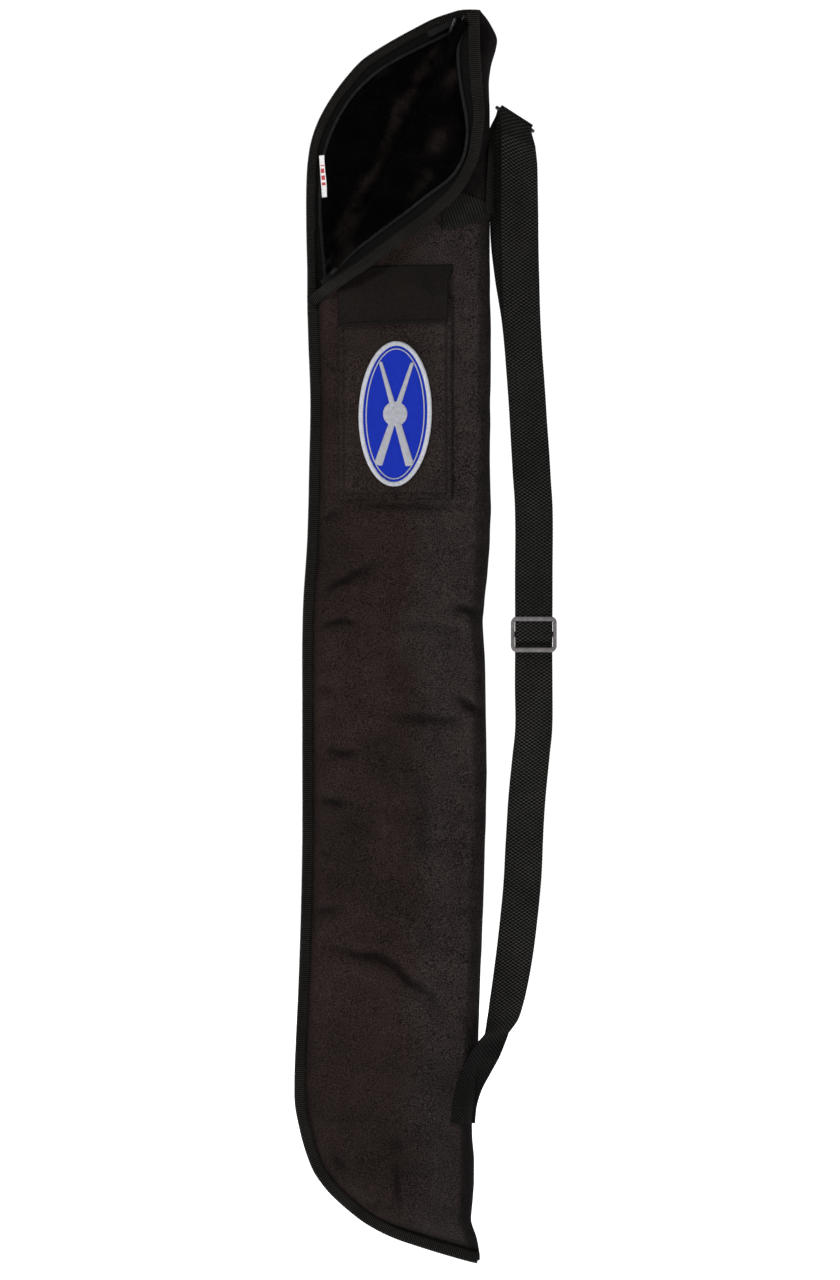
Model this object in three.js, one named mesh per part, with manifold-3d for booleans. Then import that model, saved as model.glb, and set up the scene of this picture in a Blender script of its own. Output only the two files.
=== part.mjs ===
// Soft pool cue case: a long flat padded nylon sleeve, folded at the spine (+X side) and bound
// along the other edge and the curved lower end. The front corner of its zipped mouth is folded
// outwards. It carries a patch pocket with a flap, a badge, and a webbing shoulder strap.
// Frame: millimetres, +Z up along the case towards the mouth, the front faces -Y, the flat back
// panel lies in the plane Y = 0, and the origin is on that panel.
import * as THREE from "three";
import { mergeVertices } from "three/addons/utils/BufferGeometryUtils.js";
import Module from "manifold-3d";

// ---- driving dimensions ----
const DEPTH = 17; // thickness of the empty case
// layers of the wall: [from, to], measured inwards from the outer surface
const SHELL = [0, 0.8];
const PADDING = [1.1, 3.3];
const LINING = [3.6, 5.6];
const EDGE_BACK = -1.2; // y of the back shell's outer face inside the binding
const EDGE_FRONT = -3.3; // y of the front shell's outer face inside the binding
const MARGIN = 9.4; // flat sewn margin under the binding
const BACK_RISE = 2.6; // width over which the back settles from the margin to Y = 0
const PINCH = 22; // width over which the front swells from the margin to full depth
const FOLD_LOW = [-55.0, 225.0]; // lower end of the mouth corner's fold line (x, z)
const FOLD_HIGH = [47.8, 418.7]; // its upper end
const FOLD_GAP = 1.3; // gap between the folded corner and the front panel
const FOLD_Y = -DEPTH - FOLD_GAP / 2; // depth of the fold axis
const ROLL_OFFSET = 5.4; // centre of the fold roll, beside the fold line
const CUT_OFFSET = 5.7; // where the flat panels stop, beside the fold line
const FLAP_LIFT = 4.6; // how far the mouth edge of the folded corner stands up
const MOUTH_Z = 225.5; // lowest row of the open mouth
const WEB_W = 25; // strap webbing width
const WEB_T = 1.2; // strap webbing thickness
const SWING_Y = -DEPTH / 2; // mid-depth plane between the strap's two layers
const ADJUSTER_X = 92; // centre line of the strap through the adjuster

// ---- outlines: (x, z) points ----
// mouth edge of the back panel, from the top down to the sewn edge
const OUTLINE_MOUTH = [
  [56, 419.4], [43.4, 419.2], [36.1, 417.2], [24.7, 413.2], [12.7, 407.1], [-2, 399.1],
  [-14, 391.8], [-23.4, 385.1], [-35.4, 371.7], [-44.8, 358.4], [-52.1, 345], [-56.8, 331.7],
  [-59.1, 318.3], [-60.1, 301.6], [-60.1, 271.5], [-59.5, 244.8], [-59.5, 224.8],
];
// sewn edge, from the mouth down round the lower end to the tip
const OUTLINE_SEWN = [
  [-59.5, 224.8], [-58.8, 198.1], [-57.4, 158], [-58.1, 117.9], [-59.5, 64.5], [-62.1, 24.4],
  [-62.8, -2.3], [-62.8, -42.4], [-62.8, -82.5], [-62.8, -135.9], [-63.5, -176],
  [-64.5, -209.4], [-65.8, -242.8], [-67.1, -269.5], [-68.1, -296.3], [-67.8, -313],
  [-65.5, -325.7], [-61.5, -341.7], [-55.4, -357.7], [-50.1, -365.7], [-43.4, -373.7],
  [-30.7, -385.1], [-20, -393.1], [-3.3, -401.8], [20, -409.8], [46.1, -417.5], [55.4, -419.8],
];
const OUTLINE = [...OUTLINE_MOUTH.slice(0, -1), ...OUTLINE_SEWN];
// folded side, from the top down
const SPINE = [
  [55.4, 419.2], [60.8, 413.2], [65.5, 405.1], [68.1, 399.1], [66.8, 391.8], [63.8, 381.8],
  [62.1, 370.4], [62.5, 351.7], [62.8, 318.3], [62.8, 238.1], [63.5, 204.7], [63.1, 158],
  [62.8, 117.9], [63.5, 84.5], [62.8, 64.5], [60.8, 37.7], [57.8, 11], [59.5, -15.7],
  [60.1, -49.1], [60.8, -89.2], [58.8, -162.7], [56.1, -236.1], [55.1, -276.2],
  [53.4, -301.6], [50.8, -324.3], [52.1, -349.7], [52.1, -365.7], [50.1, -390.4],
  [54.1, -401.8], [56.4, -415.2], [55.4, -419.2],
];
// outer edge of the folded corner, from the top down
const FLAP_EDGE = [
  [55.4, 417.2], [55.8, 398.5], [56.1, 387.1], [57.4, 367.7], [59.1, 348.4], [58.1, 335],
  [56.8, 325.7], [54.8, 317], [50.5, 307.6], [44.8, 297.6], [37.1, 288.5], [29.4, 281.9],
  [21.4, 274.9], [3.3, 261.5], [-18, 245.5], [-34.1, 234.8], [-50.8, 223.4],
];
// zipper coils on the folded corner and on the back panel, from the top down
const FLAP_COIL = [
  [44.8, 403.1], [42.1, 398], [41.4, 382], [42.8, 369.1], [47.2, 342.4], [47.4, 332.3],
  [46.4, 325.7], [44.1, 317], [40.7, 310.5], [35.8, 304.9], [29.4, 299.9], [8.7, 284.4],
  [-18, 265], [-33, 251.5],
];
const BACK_COIL = [
  [46.1, 408.5], [4, 387.8], [-12, 377.8], [-26.7, 364.4], [-37.4, 349], [-44.8, 333],
  [-48.8, 318.3], [-50.4, 300], [-50.6, 282], [-49.4, 264.9], [-47.8, 248], [-46.8, 234.5],
];

// ---- materials ----
const material = ({ color, roughness = 0.9, metalness = 0 }) =>
  new THREE.MeshStandardMaterial({ color, roughness, metalness });
const NYLON = material({ color: 0x1c1614, roughness: 0.85 });
const FOAM = material({ color: 0x3a3a3c });
const PLUSH = material({ color: 0x0b0a0b, roughness: 1 });
const TAPE = material({ color: 0x1a1614, roughness: 0.8 });
const PLASTIC = material({ color: 0x1b1b1d, roughness: 0.45 });
const COIL = material({ color: 0x141416, roughness: 0.5 });
const STOP_METAL = material({ color: 0x232326, roughness: 0.4, metalness: 0.6 });
const SLIDER_METAL = material({ color: 0x18181a, roughness: 0.4, metalness: 0.5 });
const LABEL = material({ color: 0xf2f0ee, roughness: 0.8 });
const HOOK_AND_LOOP = material({ color: 0x101010, roughness: 1 });
const BADGE_BLUE = material({ color: 0x1c30be, roughness: 0.6 });
const BADGE_EDGE = material({ color: 0xc9ccd4, roughness: 0.7 });
const BADGE_SILVER = material({ color: 0xb9bdc8, roughness: 0.5 });

// ---- number helpers ----
const lerp = (from, to, t) => from + (to - from) * t;
const clamp01 = (t) => Math.min(1, Math.max(0, t));
const radians = (degrees) => degrees * Math.PI / 180;
function smooth(value) {
  const t = clamp01(value);
  return t * t * (3 - 2 * t);
}
function unit(vector) {
  const length = Math.hypot(...vector);
  return vector.map((part) => part / length);
}

// ---- mesh helpers ----
const object = new THREE.Group();
const wasm = await Module();
wasm.setup();

// welds the vertices, drops collapsed triangles and turns the faces outwards
function outward(source) {
  source.deleteAttribute("normal");
  source.deleteAttribute("uv");
  const geometry = mergeVertices(source, 1e-4);
  const position = geometry.attributes.position;
  const index = geometry.index.array;
  const corners = [0, 1, 2].map(() => new THREE.Vector3());
  const kept = [];
  let volume = 0;
  for (let i = 0; i < index.length; i += 3) {
    const face = [index[i], index[i + 1], index[i + 2]];
    if (new Set(face).size < 3) continue;
    kept.push(...face);
    corners.forEach((corner, k) => corner.fromBufferAttribute(position, face[k]));
    volume += corners[0].dot(corners[1].cross(corners[2]));
  }
  if (volume < 0) {
    for (let i = 0; i < kept.length; i += 3) [kept[i], kept[i + 1]] = [kept[i + 1], kept[i]];
  }
  geometry.setIndex(kept);
  geometry.clearGroups();
  return geometry;
}
// moves every vertex to place(x, y, z)
function remap(geometry, place) {
  const position = geometry.attributes.position;
  for (let i = 0; i < position.count; i++) {
    const moved = place(position.getX(i), position.getY(i), position.getZ(i));
    position.setXYZ(i, ...moved);
  }
  return outward(geometry);
}
// closed sheet: a subdivided box whose points (u, v, w), each 0 to 1, go to place(u, v, w);
// w runs through the thickness
function sheet(place, uSteps, vSteps) {
  const box = new THREE.BoxGeometry(1, 1, 1, uSteps, vSteps, 1);
  return remap(box, (x, y, z) => place(x + 0.5, y + 0.5, z + 0.5));
}
const block = (x0, x1, y0, y1, z0, z1) =>
  sheet((u, v, w) => [lerp(x0, x1, u), lerp(y0, y1, w), lerp(z0, z1, v)], 1, 1);
const shapeOf = (points, Kind = THREE.Shape) =>
  new Kind(points.map((point) => new THREE.Vector2(...point)));
const extrude = (shape, depth, curveSegments = 12) =>
  new THREE.ExtrudeGeometry(shape, { depth, bevelEnabled: false, curveSegments });

function add(name, geometry, meshMaterial) {
  geometry.computeVertexNormals();
  const mesh = new THREE.Mesh(geometry, meshMaterial);
  mesh.name = name;
  object.add(mesh);
}
function solid(geometry) {
  return new wasm.Manifold(new wasm.Mesh({
    numProp: 3,
    vertProperties: new Float32Array(geometry.attributes.position.array),
    triVerts: new Uint32Array(geometry.index.array),
  }));
}
function fromSolid(manifold) {
  const mesh = manifold.getMesh();
  const points = new Float32Array(mesh.numVert * 3);
  for (let i = 0; i < mesh.numVert; i++) {
    for (let k = 0; k < 3; k++) points[3 * i + k] = mesh.vertProperties[i * mesh.numProp + k];
  }
  const geometry = new THREE.BufferGeometry();
  geometry.setAttribute("position", new THREE.BufferAttribute(points, 3));
  geometry.setIndex([...mesh.triVerts]);
  return geometry;
}

// ---- line helpers ----
function distanceTo(line, x, z) {
  let nearest = 1e9;
  for (let i = 0; i < line.length - 1; i++) {
    const [x0, z0] = line[i];
    const [x1, z1] = line[i + 1];
    const dot = (x - x0) * (x1 - x0) + (z - z0) * (z1 - z0);
    const t = clamp01(dot / ((x1 - x0) ** 2 + (z1 - z0) ** 2));
    nearest = Math.min(nearest, Math.hypot(x - lerp(x0, x1, t), z - lerp(z0, z1, t)));
  }
  return nearest;
}
// x at height z of a line that runs downwards
function xAtZ(line, z) {
  if (z >= line[0][1]) return line[0][0];
  for (let i = 0; i < line.length - 1; i++) {
    const [x0, z0] = line[i];
    const [x1, z1] = line[i + 1];
    if (z <= z0 && z >= z1) return lerp(x0, x1, (z - z0) / (z1 - z0));
  }
  return line[line.length - 1][0];
}
// evenly spaced stations between two fractions of a line, with unit normals into the case;
// side is -1 where the case lies on the other side of the line
function path(line, steps, from, to, side = 1) {
  const lengths = [0];
  for (let i = 1; i < line.length; i++) {
    const step = Math.hypot(line[i][0] - line[i - 1][0], line[i][1] - line[i - 1][1]);
    lengths.push(lengths[i - 1] + step);
  }
  const total = lengths[lengths.length - 1];
  const pointAt = (distance) => {
    const s = Math.min(total, Math.max(0, distance));
    let i = 1;
    while (i < lengths.length - 1 && lengths[i] < s) i++;
    const t = (s - lengths[i - 1]) / (lengths[i] - lengths[i - 1]);
    return [lerp(line[i - 1][0], line[i][0], t), lerp(line[i - 1][1], line[i][1], t)];
  };
  const stations = [];
  for (let i = 0; i <= steps; i++) {
    const s = lerp(from, to, i / steps) * total;
    const [x, z] = pointAt(s);
    stations.push({ x, z, ...normal(pointAt(s - 5), pointAt(s + 5), side) });
  }
  return stations;
}
function normal(before, after, side = 1) {
  const length = Math.hypot(after[0] - before[0], after[1] - before[1]);
  return {
    nx: -side * (after[1] - before[1]) / length,
    nz: side * (after[0] - before[0]) / length,
  };
}
// station at fraction u of a list, interpolated in every field
function stationAt(stations, u) {
  const place = u * (stations.length - 1);
  const i = Math.min(stations.length - 2, Math.floor(place + 1e-6));
  const result = {};
  for (const key in stations[i]) {
    result[key] = lerp(stations[i][key], stations[i + 1][key], place - i);
  }
  return result;
}

// ---- surfaces of the sleeve ----
const edgeBack = (inset) => EDGE_BACK * (1 - smooth((inset - MARGIN) / BACK_RISE));
const tipMargin = (z) => 6 * smooth((-391 - z) / 10); // wider flat margin at the lower tip
const depthAt = (z) => DEPTH - 5.5 * Math.max(0, 1 - (419 - z) / 60) ** 2; // thinner at the top
const backY = (x, z) => edgeBack(distanceTo(OUTLINE, x, z) - tipMargin(z));
function frontY(x, z) {
  const inset = distanceTo(OUTLINE_SEWN, x, z) - tipMargin(z);
  const rise = clamp01((inset - MARGIN) / PINCH);
  return EDGE_FRONT - (depthAt(z) + EDGE_FRONT) * Math.sqrt(1 - (1 - rise) ** 2);
}
// leftmost x on row z that keeps a margin from the outline
function insetX(z, margin) {
  const outlineX = xAtZ(OUTLINE, z);
  const limit = xAtZ(SPINE, z) + 4;
  const isInside = (x) => x > outlineX && distanceTo(OUTLINE, x, z) >= margin;
  let inside = -70;
  while (inside < limit && !isInside(inside)) inside += 0.5;
  if (inside >= limit) return Infinity;
  let outside = inside - 0.5;
  for (let i = 0; i < 12; i++) {
    const middle = (outside + inside) / 2;
    if (isInside(middle)) inside = middle;
    else outside = middle;
  }
  return inside;
}

// fold frame: distances along the fold line, and across it towards the spine
const [ALONG_X, ALONG_Z] = unit([FOLD_HIGH[0] - FOLD_LOW[0], FOLD_HIGH[1] - FOLD_LOW[1]]);
const [ACROSS_X, ACROSS_Z] = [ALONG_Z, -ALONG_X];
const fromFold = (along, across) => [
  FOLD_LOW[0] + along * ALONG_X + across * ACROSS_X,
  FOLD_LOW[1] + along * ALONG_Z + across * ACROSS_Z,
];
const toFold = ([x, z]) => [
  (x - FOLD_LOW[0]) * ALONG_X + (z - FOLD_LOW[1]) * ALONG_Z,
  (x - FOLD_LOW[0]) * ACROSS_X + (z - FOLD_LOW[1]) * ACROSS_Z,
];
// free edge of the front panel beside the fold
const cutX = (z) =>
  FOLD_LOW[0] + (z - FOLD_LOW[1]) * ALONG_X / ALONG_Z + CUT_OFFSET / ACROSS_X;

// ---- sleeve grid: rows of columns across the back, round the spine and across the front ----
const ROW_Z = [
  418, 412.5, 405.1, 399.1, 391.8, 381.8, 370.4, 351.7, 330, 305, 280, 252, MOUTH_Z, 220.5,
  190, 158, 117.9, 84.5, 64.5, 37.7, 11, -15.7, -60, -120, -180, -236, -280, -301.6, -324.3,
  -345, -365.7, -383, -394.5, -404, -412,
];
// distances in from the outline of the columns nearest to it
const INSETS = [1.9, 9.4, 12, 15, 19, 24.5, 31.5];
const INSETS_MOUTH = [1.9, 9.4, 17.2, 17.8, 20, 25, 31];
const COLUMNS = 9; // column steps across each panel
const ROLL_STEPS = 5; // steps round the spine

// column positions of one row; columns that would crowd the spine are spread out evenly
function columnXs(z, insets, spineX) {
  const xs = [];
  for (let k = 0; k < COLUMNS; k++) {
    let x = k < insets.length ? insetX(z, insets[k]) : Infinity;
    if (x > spineX - (COLUMNS - k) * 0.9) {
      const previous = k ? xs[k - 1] : spineX - 8;
      x = previous + (spineX - previous) / (COLUMNS - k + 1);
    }
    xs.push(x);
  }
  return [...xs, spineX];
}
function makeRow(z) {
  const edgeX = xAtZ(SPINE, z);
  const yBack = backY(edgeX - 9, z);
  const yFront = frontY(edgeX - 9, z);
  const radius = (yBack - yFront) / 2; // of the spine roll, centred on (centreX, centreY)
  const centreX = edgeX - radius;
  const centreY = (yBack + yFront) / 2;
  const isMouth = z >= MOUTH_Z - 0.01;
  const back = columnXs(z, isMouth ? INSETS_MOUTH : INSETS, centreX);
  let front = back;
  if (isMouth) {
    const x0 = Math.min(cutX(z), centreX - 3);
    front = back.map((_, k) =>
      (k < 3 ? x0 + 0.25 * k : lerp(x0 + 0.5, centreX, (k - 2) / (COLUMNS - 2))));
  }
  return { z, radius, centreX, centreY, back, front };
}
const ROWS = ROW_Z.map(makeRow);

// points of the sleeve wall at a depth inwards from the outer surface
const backPoint = (row, k, depth) => [row.back[k], backY(row.back[k], row.z) - depth, row.z];
const frontPoint = (row, k, depth) => [row.front[k], frontY(row.front[k], row.z) + depth, row.z];
function spinePoint(row, turn, depth) {
  const angle = Math.PI / 2 - Math.PI * turn;
  const radius = Math.max(0.25, row.radius - depth);
  return [row.centreX + radius * Math.cos(angle), row.centreY + radius * Math.sin(angle), row.z];
}
// layer that runs across the back, round the spine and across the front
function foldedSheet(firstColumn, layer, rows) {
  const flat = COLUMNS - firstColumn;
  const steps = flat + ROLL_STEPS + flat;
  return sheet((u, v, w) => {
    const i = Math.round(u * steps);
    const row = rows[Math.round(v * (rows.length - 1))];
    const depth = lerp(...layer, w);
    if (i < flat) return backPoint(row, firstColumn + i, depth);
    if (i <= flat + ROLL_STEPS) return spinePoint(row, (i - flat) / ROLL_STEPS, depth);
    return frontPoint(row, COLUMNS - (i - flat - ROLL_STEPS), depth);
  }, steps, rows.length - 1);
}
// rows with room for an inner layer whose depth ends at layerDepth
const rowsWithRoom = (layerDepth, spare) => ROWS.filter((row) =>
  insetX(row.z, 18.5) < row.centreX - 9 && row.radius > layerDepth + spare && row.z > -390);

const padRows = rowsWithRoom(PADDING[1], 1.2);
// padding of one panel, stopping just short of the spine roll
function paddingPanel(wallPoint) {
  const firstColumn = 2;
  const steps = COLUMNS - firstColumn;
  return sheet((u, v, w) => {
    const row = padRows[Math.round(v * (padRows.length - 1))];
    const i = Math.round(u * steps);
    const point = wallPoint(row, firstColumn + i, lerp(...PADDING, w));
    if (i === steps) point[0] -= 0.6;
    return point;
  }, steps, padRows.length - 1);
}
add("outer_shell", foldedSheet(0, SHELL, ROWS), NYLON);
add("back_padding", paddingPanel(backPoint), FOAM);
add("front_padding", paddingPanel(frontPoint), FOAM);
add("plush_lining", foldedSheet(3, LINING, rowsWithRoom(LINING[1], 0.5)), PLUSH);

// ---- bindings: a tape folded over the edge ----
const BIND_T = 0.9; // tape wall
const BIND_CHAMFER = 0.55; // corner of the fold, outside
const BIND_CHAMFER_IN = 0.1; // corner of the fold, inside
const BIND_MOUTH_Y = -4; // front face of the mouth bindings
const unlifted = (x, y) => y;

// lift(x, y, z) gives the y of a point that is described as if on the back panel
function binding(stations, width, yFront, lift = unlifted) {
  const wall = BIND_T;
  const cut = BIND_CHAMFER;
  const inCut = wall + BIND_CHAMFER_IN;
  // (distance in from the edge, y)
  const outer = [[width, 0], [cut, 0], [0, -cut], [0, yFront + cut], [cut, yFront],
    [width, yFront]];
  const inner = [[width, -wall], [inCut, -wall], [wall, -inCut], [wall, yFront + inCut],
    [inCut, yFront + wall], [width, yFront + wall]];
  return sheet((u, v, w) => {
    const station = stationAt(stations, u);
    const i = Math.round(v * 5);
    const inset = lerp(outer[i][0], inner[i][0], w);
    const y = lerp(outer[i][1], inner[i][1], w);
    const x = station.x + station.nx * inset;
    const z = station.z + station.nz * inset;
    return [x, lift(x, y, z), z];
  }, stations.length - 1, 5);
}
const sewnPath = path(OUTLINE_SEWN, 34, 0.006, 0.999);
const mouthPath = path(OUTLINE_MOUTH, 22, 0.052, 0.9956);
add("edge_binding", binding(sewnPath, 7.8, EDGE_FRONT - 1.2), TAPE);
add("mouth_binding_back", binding(mouthPath, 6.5, BIND_MOUTH_Y), TAPE);

// ---- zipper halves ----
const ZIP_TAPE_Y = [-2.3, -2.8];
const COIL_Y = [-3.1, -4.9];
const COIL_PROFILE = [[-0.9, 0.6], [-0.35, 1], [0.35, 1], [0.9, 0.6]]; // (across, height 0 to 1)

// tape from under the binding to just past the coil
function zipperTape(stations, coil, acrossSteps, lift = unlifted) {
  return sheet((u, v, w) => {
    const station = stationAt(stations, u);
    const pointAt = (inset) => [station.x + station.nx * inset, station.z + station.nz * inset];
    const coilGap = (inset) => distanceTo(coil, ...pointAt(inset));
    let reach = 9;
    for (let inset = 6; inset < 18; inset += 0.25) {
      if (coilGap(inset) < coilGap(reach)) reach = inset;
    }
    const [x, z] = pointAt(lerp(1.6, reach + 1.3, v));
    return [x, lift(x, lerp(...ZIP_TAPE_Y, w), z), z];
  }, stations.length - 1, acrossSteps);
}
function coilBar(line, lift = unlifted) {
  const last = line.length - 1;
  const stations = line.map(([x, z], i) =>
    ({ x, z, ...normal(line[Math.max(0, i - 1)], line[Math.min(last, i + 1)]) }));
  return sheet((u, v, w) => {
    const station = stationAt(stations, u);
    const [across, height] = COIL_PROFILE[Math.round(v * 3)];
    const x = station.x + station.nx * across;
    const z = station.z + station.nz * across;
    return [x, lift(x, lerp(...COIL_Y, height * w), z), z];
  }, last, 3);
}
add("zipper_tape_back", zipperTape(mouthPath, BACK_COIL, 1), TAPE);
add("zipper_coil_back", coilBar(BACK_COIL), COIL);
add("zipper_end_stop", block(-48.1, -45.1, COIL_Y[0], -5.2, 229.8, 232.6), STOP_METAL);

// ---- folded mouth corner, lying on the front with its lining outwards ----
// y of a point of the corner, given as if it still lay open on the back panel
function onFlap(x, y, z) {
  const lift = FLAP_LIFT * (1 - smooth((distanceTo(FLAP_EDGE, x, z) - 9) / 26));
  return 2 * FOLD_Y - (-DEPTH - y) - lift;
}
const FLAP_EDGE_IN_FOLD = FLAP_EDGE.map(toFold);
// furthest distance across the corner that keeps a margin from its edge, or 0
function flapReach(along, margin) {
  let edge = 0;
  for (let i = 0; i < FLAP_EDGE_IN_FOLD.length - 1; i++) {
    const [along0, across0] = FLAP_EDGE_IN_FOLD[i];
    const [along1, across1] = FLAP_EDGE_IN_FOLD[i + 1];
    if ((along - along0) * (along - along1) <= 0) {
      edge = Math.max(edge, lerp(across0, across1, (along - along0) / (along1 - along0)));
    }
  }
  let reach = 0;
  for (let across = CUT_OFFSET; across < 70; across += 0.25) {
    const [x, z] = fromFold(along, across);
    if (across < edge && distanceTo(FLAP_EDGE, x, z) >= margin) reach = across;
  }
  return reach;
}
// stations along the fold, and fractions across the corner to the last column but one
const FLAP_ALONG = [20, 32, 46, 62, 80, 98, 116, 132, 148, 164, 178, 190, 199, 206, 211];
const FLAP_ACROSS = [0, 0.2, 0.4, 0.58, 0.74, 0.88, 1];

// the last column stops at margin from the edge, the one before it at innerMargin
function flapSheet({ layer, margin, innerMargin, start, from, to }) {
  const stations = FLAP_ALONG.filter((along) => along >= from && along <= to);
  const lastColumn = FLAP_ACROSS.length;
  return sheet((u, v, w) => {
    const along = stations[Math.round(v * (stations.length - 1))];
    const k = Math.round(u * lastColumn);
    const inner = Math.max(start + 0.6, flapReach(along, innerMargin));
    const outer = Math.max(inner + 0.5, flapReach(along, margin));
    const across = k === lastColumn ? outer : lerp(start, inner, FLAP_ACROSS[k]);
    const [x, z] = fromFold(along, across);
    const y = edgeBack(distanceTo(FLAP_EDGE, x, z)) - lerp(...layer, w);
    return [x, onFlap(x, y, z), z];
  }, lastColumn, stations.length - 1);
}
const flapInnerLayer = (layer, margin) => flapSheet({
  layer, margin, innerMargin: margin + 1.5, start: CUT_OFFSET + 0.2, from: 46, to: 196,
});
add("flap_shell", flapSheet({
  layer: SHELL, margin: 2, innerMargin: 9.8, start: CUT_OFFSET, from: 20, to: 211,
}), NYLON);
add("flap_padding", flapInnerLayer([PADDING[0] + 0.45, PADDING[1]], 17.6), FOAM);
add("flap_lining", flapInnerLayer(LINING, 18), PLUSH);
const flapPath = path(FLAP_EDGE, 24, 0.02, 0.925, -1);
add("mouth_binding_flap", binding(flapPath, 7.6, BIND_MOUTH_Y, onFlap), TAPE);
add("zipper_tape_flap", zipperTape(flapPath, FLAP_COIL, 3, onFlap), TAPE);
add("zipper_coil_flap", coilBar(FLAP_COIL, onFlap), COIL);

// fold roll joining the front panel to the corner, one curved strip per layer
function foldRoll(layer, from, to) {
  return sheet((u, v, w) => {
    const angle = lerp(Math.PI / 2, 1.5 * Math.PI, u);
    const radius = lerp(FOLD_GAP / 2 + layer[0], FOLD_GAP / 2 + layer[1], w);
    const [x, z] = fromFold(lerp(from, to, v), ROLL_OFFSET + radius * Math.cos(angle));
    return [x, FOLD_Y + radius * Math.sin(angle), z];
  }, 8, 1);
}
add("fold_shell", foldRoll(SHELL, 22, 208), NYLON);
add("fold_padding", foldRoll(PADDING, 46, 192), FOAM);
add("fold_lining", foldRoll(LINING, 46, 192), PLUSH);

// ---- zipper slider and pull, on the straight first stretch of the back coil ----
// drawn with x along the travel, y across it (out over the edge) and z forwards
const PIVOT = [5, 5.4]; // where the pull hangs (x, y)
const [COIL_X0, COIL_Z0] = BACK_COIL[0];
const [TRAVEL_X, TRAVEL_Z] = unit([BACK_COIL[1][0] - COIL_X0, BACK_COIL[1][1] - COIL_Z0]);
function onCoil(shape, depth, base, curveSegments) {
  const geometry = extrude(shape, depth, curveSegments);
  geometry.translate(0, 0, base);
  return remap(geometry, (x, y, z) => [
    COIL_X0 + TRAVEL_X * x + TRAVEL_Z * y,
    -z,
    COIL_Z0 + TRAVEL_Z * x - TRAVEL_X * y,
  ]);
}
// closes a half outline with its mirror image in y
const mirrored = (half) => [...half.map(([x, y]) => [x, -y]), ...[...half].reverse()];
function pivotDisc(radius, base, height) {
  const shape = new THREE.Shape();
  shape.absarc(...PIVOT, radius, 0, Math.PI * 2);
  return solid(onCoil(shape, height, base, 9));
}
function zipperSlider() {
  const body = shapeOf(mirrored([[0.6, 2.2], [2.2, 2.7], [9.6, 2.3]]));
  const channel = shapeOf(mirrored([[-2, 1.3], [12, 1.3]]));
  const left = PIVOT[0] - 1.9;
  const right = PIVOT[0] + 1.9;
  const end = PIVOT[1] + 1.7;
  const bracket = shapeOf([[left, 2], [right, 2], [right, end], [left, end]]);
  return solid(onCoil(body, 3.3, 3.1))
    .subtract(solid(onCoil(channel, 2.3, 3.0)))
    .add(solid(onCoil(bracket, 0.9, 4.4)))
    .add(pivotDisc(0.9, 5.2, 1.7))
    .add(pivotDisc(1.7, 6.6, 0.6));
}
function zipperPull() {
  const half = [[-2.2, 1.2], [-1.2, 2.2], [8, 1.9], [19, 2.3], [20, 1.2]];
  const shape = shapeOf(mirrored(half).map(([x, y]) => [PIVOT[0] + x, PIVOT[1] + y]));
  const hole = new THREE.Path();
  hole.absarc(...PIVOT, 1.25, 0, Math.PI * 2);
  shape.holes.push(hole);
  return onCoil(shape, 0.8, 5.5, 10);
}
add("zipper_slider", fromSolid(zipperSlider()), SLIDER_METAL);
add("zipper_pull", zipperPull(), SLIDER_METAL);

// ---- label at the mouth edge, leaning along it ----
add("care_label", sheet((u, v, w) => [
  lerp(-51.2, -47.8, u) + lerp(1.6, 0, v), lerp(-5.2, -5.5, w), lerp(293.6, 321.6, v),
], 1, 1), LABEL);

// ---- front pocket ----
const POCKET = {
  left: -38.6, right: 37.6, bottom: 91, top: 226,
  gap: 0.35, bulge: 0.8, thick: 0.7,
  hem: 9, // width over which the bulge rises from the edges
};
const POCKET_X = [POCKET.left, -34.5, -31.5, -27.5, 0, 28.5, 33, POCKET.right];
const POCKET_Z = [POCKET.bottom, 95.5, 100.5, 117.9, 158, 190, POCKET.top];
const PINCHED_X = -28; // left of this the pocket follows the pinched edge of the case
const pocketBulge = (x, z) => POCKET.bulge * smooth((x - POCKET.left) / POCKET.hem)
  * smooth((POCKET.right - x) / POCKET.hem) * smooth((z - POCKET.bottom) / POCKET.hem);
add("pocket_panel", sheet((u, v, w) => {
  const x = POCKET_X[Math.round(u * 7)];
  const z = POCKET_Z[Math.round(v * 6)];
  const y = frontY(x, z) - POCKET.gap - pocketBulge(x, z) - POCKET.thick * w;
  return [x, y - (x < PINCHED_X ? 0.35 : 0), z];
}, 7, 6), NYLON);

// distance of the pocket's outer face from the back
const POCKET_FRONT = DEPTH + POCKET.gap + POCKET.bulge + POCKET.thick;
// flap: fold line and lower edge (z), inner face (distance from the back)
const FLAP = { fold: 227.4, low: 206.8, inner: POCKET_FRONT + 1.75, thick: 0.7 };
const FLAP_X = [-38.4, -34.5, -31.5, -27.5, 0, 27, 32, 34.4];
// the lower edge rounds up at the right and slopes down to the left
function flapLowZ(x) {
  if (x > 27) return FLAP.low + 4.5 * ((x - 27) / 7.5) ** 2;
  return FLAP.low + (x < -10 ? 0.054 * (x + 10) : 0);
}
add("pocket_flap", sheet((u, v, w) => {
  const x = FLAP_X[Math.round(u * 7)];
  const y = -FLAP.inner + DEPTH + frontY(x, 215) - FLAP.thick * w;
  return [x, y, lerp(flapLowZ(x), FLAP.fold - 0.4, v)];
}, 7, 2), NYLON);
add("pocket_flap_seam", sheet((u, v, w) => {
  const x = lerp(-36.5, POCKET.right, u);
  const z = lerp(FLAP.fold, 247.6, v);
  const pinch = x < PINCHED_X ? (frontY(x, z) + DEPTH) * 0.98 : 0;
  const y = lerp(-FLAP.inner, -DEPTH - 0.4, smooth(v * 1.15)) + pinch;
  return [x, y - FLAP.thick * w, z];
}, 8, 4), NYLON);
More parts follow.
